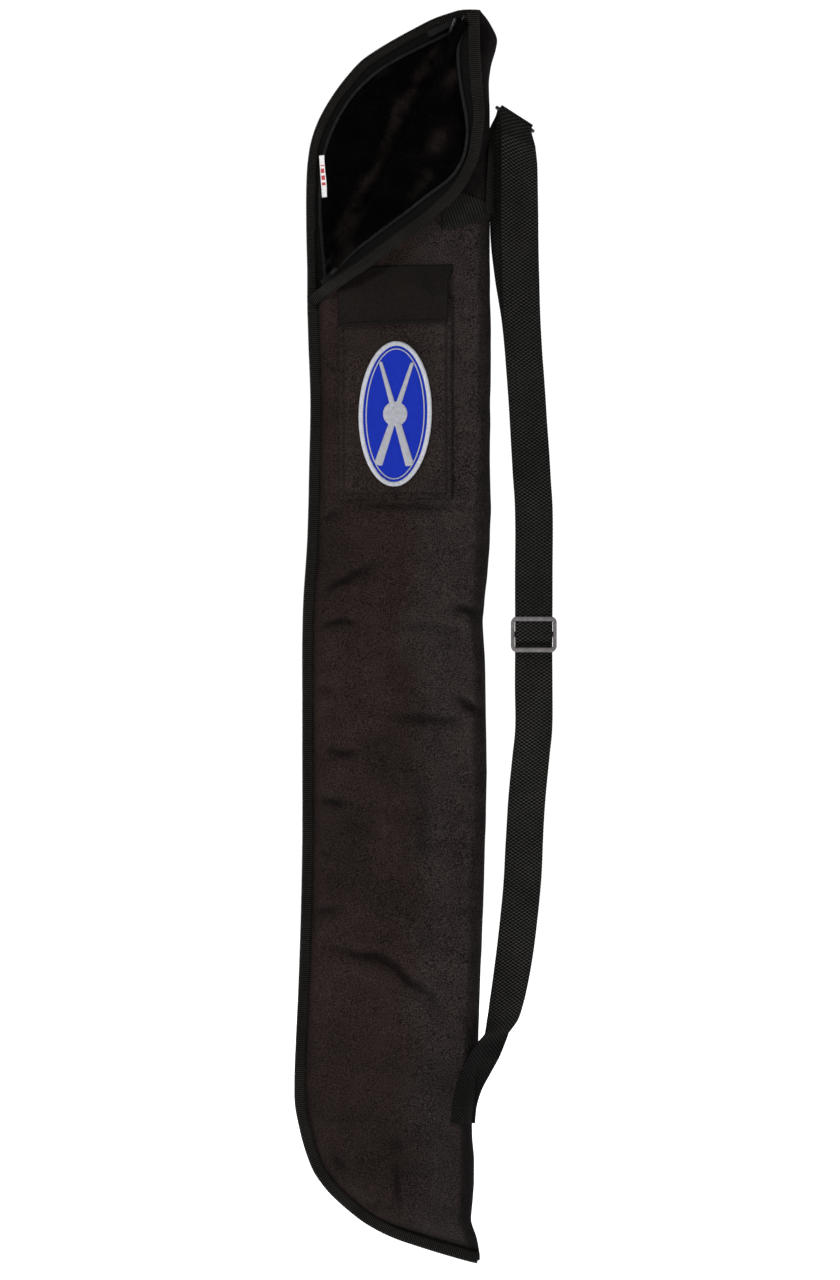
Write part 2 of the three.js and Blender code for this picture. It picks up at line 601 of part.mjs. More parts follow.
const fastenerTape = (y0, y1) => block(-18, 18, y0, y1, 210.5, 220.5);
add("pocket_loop_tape", fastenerTape(-POCKET_FRONT - 0.25, -POCKET_FRONT - 0.7), HOOK_AND_LOOP);
add("pocket_hook_tape", fastenerTape(-FLAP.inner + 0.3, -FLAP.inner + 0.7), HOOK_AND_LOOP);

// ---- oval badge on the pocket: field, border, raised crossed cues and ball ----
const BADGE = {
  x: -0.5, z: 148.4, radiusX: 24.7, radiusZ: 48.8, tilt: radians(1.4), base: POCKET_FRONT + 0.3,
};
const EMBLEM_BASE = BADGE.base + 1.2;
function ellipse(radiusX, radiusY, count) {
  const points = [];
  for (let i = 0; i < count; i++) {
    const angle = 2 * Math.PI * i / count;
    points.push([Math.cos(angle) * radiusX, Math.sin(angle) * radiusY]);
  }
  return points;
}
const badgeOval = (inset) => ellipse(BADGE.radiusX - inset, BADGE.radiusZ - inset, 40);
// stands an outline drawn in x and y up on the front, base away from the back
function onBadge(shape, depth, base) {
  const cos = Math.cos(BADGE.tilt);
  const sin = Math.sin(BADGE.tilt);
  return remap(extrude(shape, depth), (x, y, z) =>
    [BADGE.x + x * cos + y * sin, -(base + z), BADGE.z - x * sin + y * cos]);
}
function badgeCue(angle) {
  const halfLength = 36;
  const butt = 2.3; // half width at the lower end
  const tip = 0.9; // half width at the upper end
  const cos = Math.cos(angle);
  const sin = Math.sin(angle);
  const outline = [[-butt, -halfLength], [butt, -halfLength], [tip, halfLength], [-tip, halfLength]];
  const turned = outline.map(([x, y]) => [x * cos - y * sin, x * sin + y * cos]);
  return solid(onBadge(shapeOf(turned), 0.6, EMBLEM_BASE));
}
const borderShape = shapeOf(badgeOval(0));
borderShape.holes.push(shapeOf(badgeOval(2.6), THREE.Path));
const badgeBall = solid(onBadge(shapeOf(ellipse(8.2, 8.2, 20)), 0.9, EMBLEM_BASE));
add("badge_field", onBadge(shapeOf(badgeOval(2.9)), 0.9, BADGE.base), BADGE_BLUE);
add("badge_border", onBadge(borderShape, 1.5, BADGE.base), BADGE_EDGE);
add("badge_emblem", fromSolid(badgeCue(0.3).add(badgeCue(-0.3)).add(badgeBall)), BADGE_SILVER);

// ---- upper anchor tab: webbing on the front, round the spine, and up behind it to the ring ----
const TAB_RADIUS = [DEPTH / 2 + 0.4, DEPTH / 2 + 0.4 + WEB_T]; // inner and outer faces
const TAB_END = 0.95; // angle round the spine where the tab ends, radians
const tabCentreX = (z) => xAtZ(SPINE, z) - DEPTH / 2;
const tabPoint = (z, angle, radius) =>
  [tabCentreX(z) + radius * Math.cos(angle), SWING_Y + radius * Math.sin(angle), z];
const tabBand = sheet((u, v, w) => {
  const i = Math.round(u * 10);
  const z = lerp(273, 296, v);
  const radius = lerp(...TAB_RADIUS, w);
  if (i >= 3) return tabPoint(z, lerp(-Math.PI / 2, TAB_END, (i - 3) / 7), radius);
  return [lerp(31, tabCentreX(z), i / 3), SWING_Y - radius, z - lerp(3.5, 0, i / 3)];
}, 10, 1);
const tabRiser = sheet((u, v, w) =>
  tabPoint(lerp(288, 340, v), lerp(0.5, TAB_END, u), lerp(...TAB_RADIUS, w)), 3, 2);
add("upper_anchor_tab", fromSolid(solid(tabBand).add(solid(tabRiser))), TAPE);

// ---- strap ring: a small plastic loop, its front bar carrying the strap ----
const RING = { x: 79.4, z: 345.4, length: 32.4, depth: 9.4, bar: 2.3, thick: 2.2 };
const RING_TILT = radians(33.2);
const [RING_COS, RING_SIN] = [Math.cos(RING_TILT), Math.sin(RING_TILT)];
const ringPoint = (along, y, across) => [
  RING.x + RING_COS * along + RING_SIN * across,
  SWING_Y + y,
  RING.z - RING_SIN * along + RING_COS * across,
];
function roundRect(Kind, width, height, radius) {
  const [right, top] = [width / 2, height / 2];
  const shape = new Kind();
  shape.moveTo(-right + radius, -top);
  shape.lineTo(right - radius, -top);
  shape.absarc(right - radius, -top + radius, radius, -Math.PI / 2, 0, false);
  shape.lineTo(right, top - radius);
  shape.absarc(right - radius, top - radius, radius, 0, Math.PI / 2, false);
  shape.lineTo(-right + radius, top);
  shape.absarc(-right + radius, top - radius, radius, Math.PI / 2, Math.PI, false);
  shape.lineTo(-right, -top + radius);
  shape.absarc(-right + radius, -top + radius, radius, Math.PI, 1.5 * Math.PI, false);
  return shape;
}
// outer and opening: [width, height, corner radius]
function frame(outer, opening, depth) {
  const shape = roundRect(THREE.Shape, ...outer);
  shape.holes.push(roundRect(THREE.Path, ...opening));
  return extrude(shape, depth, 4);
}
const ringFrame = frame(
  [RING.length, RING.depth, 2],
  [RING.length - 2 * RING.bar, RING.depth - 2 * RING.bar, 0.6],
  RING.thick,
);
add("strap_ring", remap(ringFrame, (x, y, z) => ringPoint(x, y, z - RING.thick / 2)), PLASTIC);

// ---- shoulder strap: one webbing, up in front to the ring, over its bar, and down behind ----
const FRONT_Y = SWING_Y - 2.1;
const REAR_Y = SWING_Y + 2.1;
const BAR_Y = SWING_Y - (RING.depth - RING.bar) / 2;
const TURN = 2.05; // radius of the webbing round the bar
const LEVEL = [1, 0, 0]; // width direction of the plain webbing
const RING_LEVEL = [RING_COS, 0, -RING_SIN]; // width direction at the ring
// x, y, z and the share of the turn from LEVEL to RING_LEVEL (none if left out)
const FRONT_LEG = [
  [ADJUSTER_X, FRONT_Y, -2], [ADJUSTER_X, FRONT_Y, 40], [ADJUSTER_X, FRONT_Y, 86],
  [90.2, FRONT_Y, 112], [87.5, FRONT_Y, 158], [85.2, FRONT_Y, 190], [83.6, FRONT_Y, 225],
  [82.6, FRONT_Y, 262], [82.4, FRONT_Y, 296, 0.05], [82.2, FRONT_Y - 0.4, 316, 0.3],
  [81.6, FRONT_Y - 2.2, 332, 0.7],
];
const REAR_LEG = [
  [79.3, BAR_Y + TURN + 0.6, 334, 0.7], [78.9, REAR_Y - 0.7, 322, 0.35],
  [78.7, REAR_Y, 308, 0.08], [78.7, REAR_Y, 268], [80.2, REAR_Y, 240], [83, REAR_Y, 211],
  [85.6, REAR_Y, 185], [87.6, REAR_Y, 158], [89.6, REAR_Y, 128], [91, REAR_Y, 104],
  [ADJUSTER_X, REAR_Y, 86], [ADJUSTER_X, REAR_Y, 40], [ADJUSTER_X, REAR_Y, -30],
  [ADJUSTER_X, REAR_Y, -62], [90.2, REAR_Y, -80], [87.4, REAR_Y, -109], [85.8, REAR_Y, -136],
  [84.5, REAR_Y, -162.7], [82, REAR_Y - 0.3, -189],
];
// x, y, z and the turn about the vertical, degrees
const REAR_END = [
  [78.7, REAR_Y - 1.2, -216, 9], [74.4, REAR_Y - 2.4, -242, 22], [71.2, REAR_Y - 3.2, -256, 33],
];
const mixDirections = (from, to, t) => unit(from.map((part, i) => lerp(part, to[i], t)));
const legStation = ([x, y, z, turn = 0]) =>
  ({ at: [x, y, z], across: mixDirections(LEVEL, RING_LEVEL, turn), width: WEB_W });
function barStation(i) {
  const angle = lerp(-Math.PI / 2, Math.PI / 2, i / 6);
  const [x, , z] = ringPoint(0, 0, 0.5 + TURN * Math.cos(angle));
  return { at: [x, BAR_Y + TURN * Math.sin(angle), z], across: RING_LEVEL, width: WEB_W };
}
const endStation = ([x, y, z, turn]) => ({
  at: [x, y, z],
  across: [Math.cos(radians(turn)), Math.sin(radians(turn)), 0],
  width: WEB_W,
});
// webbing through stations, each with a place, a width direction and a width
function webbing(stations) {
  const last = stations.length - 1;
  return sheet((u, v, w) => {
    const i = Math.round(u * last);
    const before = stations[Math.max(0, i - 1)].at;
    const after = stations[Math.min(last, i + 1)].at;
    const { at, across, width } = stations[i];
    const tangent = new THREE.Vector3(...after.map((part, k) => part - before[k])).normalize();
    const side = new THREE.Vector3(...across);
    const face = new THREE.Vector3().crossVectors(tangent, side).normalize().toArray();
    const sideways = (v - 0.5) * width;
    const outwards = (w - 0.5) * WEB_T;
    return at.map((part, k) => part + across[k] * sideways + face[k] * outwards);
  }, last, 2);
}
// extra stations where the webbing twists, so that its two faces stay parallel
function refine(stations, first, steps) {
  const refined = stations.slice(0, first + 1);
  for (let i = first; i < stations.length - 1; i++) {
    const from = stations[i];
    const to = stations[i + 1];
    for (let k = 1; k <= steps; k++) {
      const t = k / steps;
      refined.push({
        at: from.at.map((part, j) => lerp(part, to.at[j], t)),
        across: mixDirections(from.across, to.across, t),
        width: lerp(from.width, to.width, t),
      });
    }
  }
  return refined;
}
const strapStations = [
  ...FRONT_LEG.map(legStation),
  ...[0, 1, 2, 3, 4, 5, 6].map(barStation),
  ...REAR_LEG.map(legStation),
  ...REAR_END.map(endStation),
];
const twistStart = strapStations.length - 1 - REAR_END.length;
add("shoulder_strap", webbing(refine(strapStations, twistStart, 5)), TAPE);

// lower end of the strap, on the front beside the spine: place, width direction, width
const LOWER_TAB = [
  [[67.5, -13.2, -261], [0.62, 0.78, 0], 24],
  [[63.5, -15.6, -270], [0.8, 0.55, -0.05], 22],
  [[58.5, -18.2, -280], [0.97, 0.2, -0.15], 20],
  [[53, -18.7, -290], [0.98, 0, -0.2], 19],
  [[48, -18.4, -301.6], [0.98, 0, -0.15], 17],
  [[45, -18.4, -313], [1, 0, -0.05], 16],
  [[44, -18.4, -325], [1, 0, 0], 16],
];
const tabStations = LOWER_TAB.map(([at, across, width]) => ({ at, across: unit(across), width }));
add("lower_anchor_tab", webbing(refine(tabStations, 0, 4)), TAPE);

// ---- adjuster: a frame before the webbing, and a centre bar between its layers ----
const ADJUSTER = { width: 30.5, height: 23.6, z: 1.4, rail: 2.3, bar: 3, thick: 1.5 };
function strapAdjuster() {
  const { width, height, z: centreZ, rail, bar, thick } = ADJUSTER;
  const innerY = SWING_Y - 3.0; // inner face of the front frame
  const front = frame([width, height, 3], [width - 2 * rail, height - 2 * bar, 1], thick);
  const sideRail = (side) => solid(block(
    ADJUSTER_X + side * (width / 2 - rail), ADJUSTER_X + side * (width / 2),
    innerY - 0.5, SWING_Y + 1.2, centreZ - 6, centreZ + 6,
  ));
  const centreBar = solid(block(
    ADJUSTER_X - width / 2 + 0.4, ADJUSTER_X + width / 2 - 0.4,
    SWING_Y - 1.1, SWING_Y + 1.1, centreZ - 1.9, centreZ + 1.9,
  ));
  return solid(remap(front, (x, y, z) => [ADJUSTER_X + x, innerY - z, centreZ + y]))
    .add(sideRail(-1))
    .add(sideRail(1))
    .add(centreBar);
}
add("strap_adjuster", fromSolid(strapAdjuster()), PLASTIC);

export default object;
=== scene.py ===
import bpy, math
import numpy as np
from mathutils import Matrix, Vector


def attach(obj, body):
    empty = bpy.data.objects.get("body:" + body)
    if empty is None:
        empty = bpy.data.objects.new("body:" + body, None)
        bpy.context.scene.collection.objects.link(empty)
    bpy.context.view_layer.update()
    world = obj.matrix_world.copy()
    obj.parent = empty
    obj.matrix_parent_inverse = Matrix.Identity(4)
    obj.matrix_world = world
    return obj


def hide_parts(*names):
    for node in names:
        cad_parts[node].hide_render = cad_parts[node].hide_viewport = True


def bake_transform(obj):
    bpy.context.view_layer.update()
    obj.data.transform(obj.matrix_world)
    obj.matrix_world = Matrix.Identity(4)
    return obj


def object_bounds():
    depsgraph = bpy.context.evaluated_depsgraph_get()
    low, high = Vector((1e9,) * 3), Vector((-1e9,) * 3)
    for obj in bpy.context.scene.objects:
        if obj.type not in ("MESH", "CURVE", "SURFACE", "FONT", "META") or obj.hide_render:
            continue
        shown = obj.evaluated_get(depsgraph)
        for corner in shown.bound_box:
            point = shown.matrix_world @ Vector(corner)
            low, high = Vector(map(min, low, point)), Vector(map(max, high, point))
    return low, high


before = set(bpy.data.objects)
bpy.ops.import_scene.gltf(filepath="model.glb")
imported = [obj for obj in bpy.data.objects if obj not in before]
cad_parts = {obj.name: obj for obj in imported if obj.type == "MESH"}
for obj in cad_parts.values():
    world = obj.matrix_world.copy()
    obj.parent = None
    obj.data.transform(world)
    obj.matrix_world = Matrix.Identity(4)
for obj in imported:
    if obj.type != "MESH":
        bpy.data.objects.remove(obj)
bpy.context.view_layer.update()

scene = bpy.context.scene

# ------------------------------------------------------------------ dimensions of the frame (mm)
DEPTH = 17.0
EDGE_BACK, EDGE_FRONT = -1.2, -3.3
PINCH_0, PINCH = 7.9, 23.5
HA, HB = np.array([-55.0, 225.0]), np.array([47.8, 418.7])
CUT_S = 5.7
MOUTH_Z = 225.5
MOUTH = [[56, 419.4], [43.4, 419.2], [36.1, 417.2], [24.7, 413.2], [12.7, 407.1], [-2, 399.1], [-14, 391.8],
         [-23.4, 385.1], [-35.4, 371.7], [-44.8, 358.4], [-52.1, 345], [-56.8, 331.7], [-59.1, 318.3], [-60.1, 301.6],
         [-60.1, 271.5], [-59.5, 244.8], [-59.5, 224.8]]
SEWN = [[-59.5, 224.8], [-58.8, 198.1], [-57.4, 158], [-58.1, 117.9], [-59.5, 64.5], [-62.1, 24.4], [-62.8, -2.3],
        [-62.8, -42.4], [-62.8, -82.5], [-62.8, -135.9], [-63.5, -176], [-64.5, -209.4], [-65.8, -242.8], [-67.1, -269.5],
        [-68.1, -296.3], [-67.8, -313], [-65.5, -325.7], [-61.5, -341.7], [-55.4, -357.7], [-50.1, -365.7], [-43.4, -373.7],
        [-30.7, -385.1], [-20, -393.1], [-3.3, -401.8], [20, -409.8], [46.1, -417.5], [55.4, -419.8]]
SPINE = [[55.4, 419.2], [60.8, 413.2], [65.5, 405.1], [68.1, 399.1], [66.8, 391.8], [63.8, 381.8], [62.1, 370.4],
         [62.5, 351.7], [62.8, 318.3], [62.8, 238.1], [63.5, 204.7], [63.1, 158], [62.8, 117.9], [63.5, 84.5], [62.8, 64.5],
         [60.8, 37.7], [57.8, 11], [59.5, -15.7], [60.1, -49.1], [60.8, -89.2], [58.8, -162.7], [56.1, -236.1], [55.1, -276.2],
         [53.4, -301.6], [50.8, -324.3], [52.1, -349.7], [52.1, -365.7], [50.1, -390.4], [54.1, -401.8], [56.4, -415.2], [55.4, -419.2]]
FLAP_EDGE = [[55.4, 417.2], [55.8, 398.5], [56.1, 387.1], [57.4, 367.7], [59.1, 348.4], [58.1, 335], [56.8, 325.7],
             [54.8, 317], [50.5, 307.6], [44.8, 297.6], [37.1, 288.5], [29.4, 281.9], [21.4, 274.9], [3.3, 261.5], [-18, 245.5],
             [-34.1, 234.8], [-50.8, 223.4]]
FLAP_COIL = [[46.5, 410], [44.8, 403.1], [42.1, 398], [41.4, 382], [42.8, 369.1], [47.2, 342.4], [47.4, 332.3], [46.4, 325.7],
             [44.1, 317], [40.7, 310.5], [35.8, 304.9], [29.4, 299.9], [8.7, 284.4], [-18, 265], [-33, 251.5], [-46.8, 237.5]]
BACK_COIL = [[46.1, 408.5], [4, 387.8], [-12, 377.8], [-26.7, 364.4], [-37.4, 349], [-44.8, 333], [-48.8, 318.3],
             [-50.4, 300], [-50.6, 282], [-49.4, 264.9], [-47.8, 248], [-46.8, 232.0]]


# ------------------------------------------------------------------ maths
def smooth(t):
    t = np.clip(t, 0, 1)
    return t * t * (3 - 2 * t)


def spline(points, n, dim=2):
    """Catmull-Rom through points, resampled evenly to n points."""
    P = np.asarray(points, float)
    Q = np.vstack([2 * P[0] - P[1], P, 2 * P[-1] - P[-2]])
    out = []
    for i in range(1, len(Q) - 2):
        p0, p1, p2, p3 = Q[i - 1:i + 3]
        d = [max(1e-6, np.linalg.norm(b - a) ** 0.5) for a, b in ((p0, p1), (p1, p2), (p2, p3))]
        t0, t1, t2, t3 = 0, d[0], d[0] + d[1], d[0] + d[1] + d[2]
        for t in np.linspace(t1, t2, 16, endpoint=False):
            a1 = (t1 - t) / (t1 - t0) * p0 + (t - t0) / (t1 - t0) * p1
            a2 = (t2 - t) / (t2 - t1) * p1 + (t - t1) / (t2 - t1) * p2
            a3 = (t3 - t) / (t3 - t2) * p2 + (t - t2) / (t3 - t2) * p3
            b1 = (t2 - t) / (t2 - t0) * a1 + (t - t0) / (t2 - t0) * a2
            b2 = (t3 - t) / (t3 - t1) * a2 + (t - t1) / (t3 - t1) * a3
            out.append((t2 - t) / (t2 - t1) * b1 + (t - t1) / (t2 - t1) * b2)
    out.append(P[-1])
    return resample(np.array(out), n)


def resample(P, n):
    P = np.asarray(P, float)
    s = np.r_[0, np.cumsum(np.linalg.norm(np.diff(P, axis=0), axis=1))]
    q = np.linspace(0, s[-1], n)
    return np.stack([np.interp(q, s, P[:, k]) for k in range(P.shape[1])], 1)


def length(P):
    return float(np.linalg.norm(np.diff(P, axis=0), axis=1).sum())


def seg_dist(x, z, line):
    x, z = np.broadcast_arrays(np.asarray(x, float), np.asarray(z, float))
    d = np.full(x.shape, 1e9)
    for (ax, az), (bx, bz) in zip(line[:-1], line[1:]):
        l2 = (bx - ax) ** 2 + (bz - az) ** 2
        t = np.clip(((x - ax) * (bx - ax) + (z - az) * (bz - az)) / l2, 0, 1)
        d = np.minimum(d, np.hypot(x - ax - t * (bx - ax), z - az - t * (bz - az)))
    return d


def along_z(line, z):
    L = np.asarray(line)[::-1]
    zz = np.maximum.accumulate(L[:, 1] + np.arange(len(L)) * 1e-7)
    return np.interp(z, zz, L[:, 0])


_T = np.random.RandomState(11).rand(256, 256)


def vnoise(x, y, s, seed=0):
    x = np.asarray(x, float) / s + seed * 17.31 + 4000
    y = np.asarray(y, float) / s + seed * 9.77 + 4000
    xi, yi = np.floor(x).astype(int), np.floor(y).astype(int)
    fx, fy = x - xi, y - yi
    fx, fy = fx ** 3 * (fx * (6 * fx - 15) + 10), fy ** 3 * (fy * (6 * fy - 15) + 10)
    g = lambda i, j: _T[(xi + i) % 256, (yi + j) % 256]
    return ((g(0, 0) * (1 - fx) + g(1, 0) * fx) * (1 - fy) + (g(0, 1) * (1 - fx) + g(1, 1) * fx) * fy) * 2 - 1


def fbm(x, y, s, seed=0, octaves=3):
    return sum(vnoise(x, y, s / 2 ** k, seed + k * 3) / 2 ** k for k in range(octaves))


def unit(v):
    return v / np.maximum(1e-9, np.linalg.norm(v, axis=-1, keepdims=True))


MOUTH_L, SEWN_L = spline(MOUTH, 90), spline(SEWN, 150)
SPINE_L = np.asarray(SPINE, float)
OUTLINE_L = np.vstack([MOUTH_L[:-1], SEWN_L])
FLAP_L = spline(FLAP_EDGE, 90)
HL = np.linalg.norm(HB - HA)
D2 = (HB - HA) / HL
N2 = np.array([D2[1], -D2[0]])


def to_xz(a, s):
    return HA[0] + a * D2[0] + s * N2[0], HA[1] + a * D2[1] + s * N2[1]


def to_a(x, z):
    return (x - HA[0]) * D2[0] + (z - HA[1]) * D2[1]


def spine_x(z):
    L = SPINE_L[::-1]
    zz = np.maximum.accumulate(L[:, 1] + np.arange(len(L)) * 1e-7)
    k = np.zeros_like(np.asarray(z, float))
    for o in (-2.4, -1.2, 0, 1.2, 2.4):  # a soft round-off of the polyline
        k = k + np.interp(np.asarray(z, float) + o, zz, L[:, 0])
    return k / 5


def low_margin(z):
    return 1.6 * smooth((-391 - z) / 10)


def top_depth(z):
    return DEPTH - 5.5 * np.maximum(0, 1 - (419 - z) / 60) ** 2


def edge_back(e):
    return EDGE_BACK * (1 - smooth((e - PINCH_0) / 2.6))


# ------------------------------------------------------------------ cloth wrinkles of the shell (mm along the part frame)
def px(*pts):
    return [((x - 396) * 0.668, (636.5 - y) * 0.668) for x, y in pts]


CREASES = [  # line in part coordinates, depth, half width, side fullness
    (px((318, 592), (350, 577), (380, 562)), 1.3, 4.5, 0.8),
    (px((315, 629), (338, 622), (362, 622)), 1.4, 3.6, 0.9),
    (px((318, 688), (336, 690)), 0.7, 4.0, 0.4),
    (px((324, 749), (361, 753)), 1.2, 4.0, 0.6),
    (px((320, 799), (349, 804)), 1.1, 4.0, 0.6),
    (px((315, 850), (333, 854)), 0.6, 4.0, 0.4),
    (px((315, 908), (345, 910)), 1.1, 4.2, 0.6),
    (px((327, 945), (357, 954), (376, 956), (395, 964), (412, 983), (424, 990), (441, 1008)), 1.5, 4.5, 0.9),
    (px((488, 622), (468, 610), (450, 606)), 1.8, 4.0, 0.8),
    (px((452, 694), (470, 705), (488, 717)), 1.8, 4.0, 0.9),
    (px((384, 713), (420, 717), (472, 720)), 1.1, 5.0, 0.6),
    (px((380, 630), (420, 626), (455, 632)), 0.6, 7.0, 0.3),
    (px((342, 505), (400, 507), (472, 507)), 1.0, 3.6, 0.4),
    (px((398, 1136), (398, 1154)), 0.7, 5.0, 0.3),
    (px((398, 1157), (399, 1212)), 0.8, 3.5, 0.4),
    (px((481, 1120), (462, 1124)), 1.4, 3.6, 0.7),
    (px((480, 1222), (460, 1219)), 1.3, 3.6, 0.6),
    (px((482, 1258), (467, 1229)), 1.3, 3.6, 0.7),
    (px((322, 358), (338, 371)), 0.9, 3.2, 0.5),
    (px((318, 420), (334, 424)), 0.6, 3.6, 0.4),
    (px((318, 520), (342, 512)), 0.8, 4.0, 0.4),
    (px((486, 540), (470, 548)), 0.9, 4.0, 0.5),
    (px((484, 800), (466, 806)), 0.7, 5.0, 0.4),
    (px((480, 905), (458, 915)), 0.8, 5.0, 0.4),
    (px((478, 1010), (455, 1022)), 0.8, 5.0, 0.4),
    (px((424, 772), (424, 868)), 0.7, 9.0, 0.6),
    (px((330, 1150), (352, 1170)), 0.8, 5.0, 0.4),
    (px((360, 1212), (385, 1200)), 0.7, 5.0, 0.4),
]


def creases(x, z):
    """Displacement towards +Y (into the case) on the front."""
    out = np.zeros(np.broadcast(x, z).shape)
    for line, depth, w, full in CREASES:
        L = spline(line, 14) if len(line) > 2 else resample(np.array(line), 6)
        lo, hi = L.min(0) - 4 * w, L.max(0) + 4 * w
        m = (x > lo[0]) & (x < hi[0]) & (z > lo[1]) & (z < hi[1])
        if not m.any():
            continue
        xs, zs = x[m] + 1.2 * vnoise(x[m], z[m], 9, 5), z[m] + 1.2 * vnoise(x[m], z[m], 9, 6)
        best, tt = np.full(xs.shape, 1e9), np.zeros(xs.shape)
        side = np.zeros(xs.shape)
        for i in range(len(L) - 1):
            a, b = L[i], L[i + 1]
            ab = b - a
            t = np.clip(((xs - a[0]) * ab[0] + (zs - a[1]) * ab[1]) / (ab @ ab), 0, 1)
            dx, dz = xs - a[0] - t * ab[0], zs - a[1] - t * ab[1]
            d = np.hypot(dx, dz)
            k = d < best
            best[k], tt[k] = d[k], ((i + t) / (len(L) - 1))[k]
            side[k] = (dx * ab[1] - dz * ab[0])[k] / np.linalg.norm(ab)
        amp = np.clip(np.sin(np.pi * np.clip(tt, 0.03, 0.97)), 0, 1) ** 0.8
        out[m] += 1.6 * depth * amp * (np.exp(-(best / (0.75 * w)) ** 2) * (1 + 0.25 * np.tanh(side / w)) - full * 0.5 * np.exp(-((best - 2.1 * w) / (1.2 * w)) ** 2))
    return out


def front_y(x, z, wrinkle=True):
    e = seg_dist(x, z, SEWN_L) - low_margin(z)
    r = np.clip((e - PINCH_0) / PINCH, 0, 1)
    prof = np.clip(1 - (1 - r) ** 2, 0, 1) ** 0.62
    y = EDGE_FRONT - (top_depth(z) + EDGE_FRONT) * prof
    if wrinkle:
        amp = smooth((e - PINCH_0) / 16) * (1 - 0.62 * smooth((z - 80) / 40))
        y = y + smooth((e - PINCH_0 + 0.5) / 5) * creases(x, z) + amp * (1.35 * vnoise(x, z, 62, 1) + 1.0 * vnoise(x, z * 1.35, 27, 2) + 0.34 * vnoise(x, z, 11, 3))
        # puckers that run in from the sewn edge
        s = np.interp(np.asarray(z, float), np.arange(-430, 240, 1.0), np.cumsum(1 + 0.35 * vnoise(np.arange(-430, 240, 1.0), 0, 30, 8)))
        edge = smooth((e - PINCH_0 + 1) / 4) * (1 - smooth((e - PINCH_0 - 6) / 24))
        y = y + edge * 0.75 * np.sin(s * 2 * np.pi / 23) * (0.5 + 0.5 * vnoise(x * 0, z, 40, 9))
    return y


def back_y(x, z, wrinkle=True):
    e = seg_dist(x, z, OUTLINE_L) - low_margin(z)
    y = edge_back(e)
    if wrinkle:
        y = y - smooth((e - 10) / 14) * (0.35 + 0.35 * fbm(x, z, 70, 21, 3))
    return y


# ------------------------------------------------------------------ mesh building
def build(name, V, F, material, uv=None, smooth_shade=True, extra=None):
    V = np.asarray(V, float) * 0.001
    F = np.asarray(F, int)
    a, b, c, d = (V[F[:, k]] for k in range(4))
    vol = (np.einsum("ij,ij->i", a, np.cross(b, c)) + np.einsum("ij,ij->i", a, np.cross(c, d))).sum()
    faces = F.tolist() + [list(f) for f in (extra or [])]
    if vol < 0:
        faces = [f[::-1] for f in faces]
    faces = [[v for i, v in enumerate(f) if v != f[i - 1]] for f in faces]
    me = bpy.data.meshes.new(name)
    me.from_pydata(V.tolist(), [], faces)
    if uv is not None:
        layer = me.uv_layers.new(name="weave")
        li = np.empty(len(me.loops), np.int32)
        me.loops.foreach_get("vertex_index", li)
        layer.data.foreach_set("uv", (np.asarray(uv, float)[li] * 0.001).astype(np.float32).ravel())
    me.polygons.foreach_set("use_smooth", [smooth_shade] * len(me.polygons))
    me.update()
    ob = bpy.data.objects.new(name, me)
    scene.collection.objects.link(ob)
    me.materials.append(material)
    return ob


def grid_faces(nu, nv, off=0, wrap_u=False, wrap_v=False):
    idx = np.arange(nu * nv).reshape(nu, nv) + off
    if wrap_u:
        idx = np.vstack([idx, idx[:1]])
    if wrap_v:
        idx = np.hstack([idx, idx[:, :1]])
    return np.stack([idx[:-1, :-1], idx[1:, :-1], idx[1:, 1:], idx[:-1, 1:]], -1).reshape(-1, 4)


def set_painted_shade(ob, values):
    """Painted shade in creases, on areas turned away from the light or covered, and along edges, with some random
    darker patches, kept on the points of the cloth as the 'fold' attribute.
    """
    v = np.zeros(len(ob.data.vertices), np.float32)
    v[:len(values)] = np.clip(values, 0, 1)
    ob.data.attributes.new("fold", "FLOAT", "POINT").data.foreach_set("value", v)


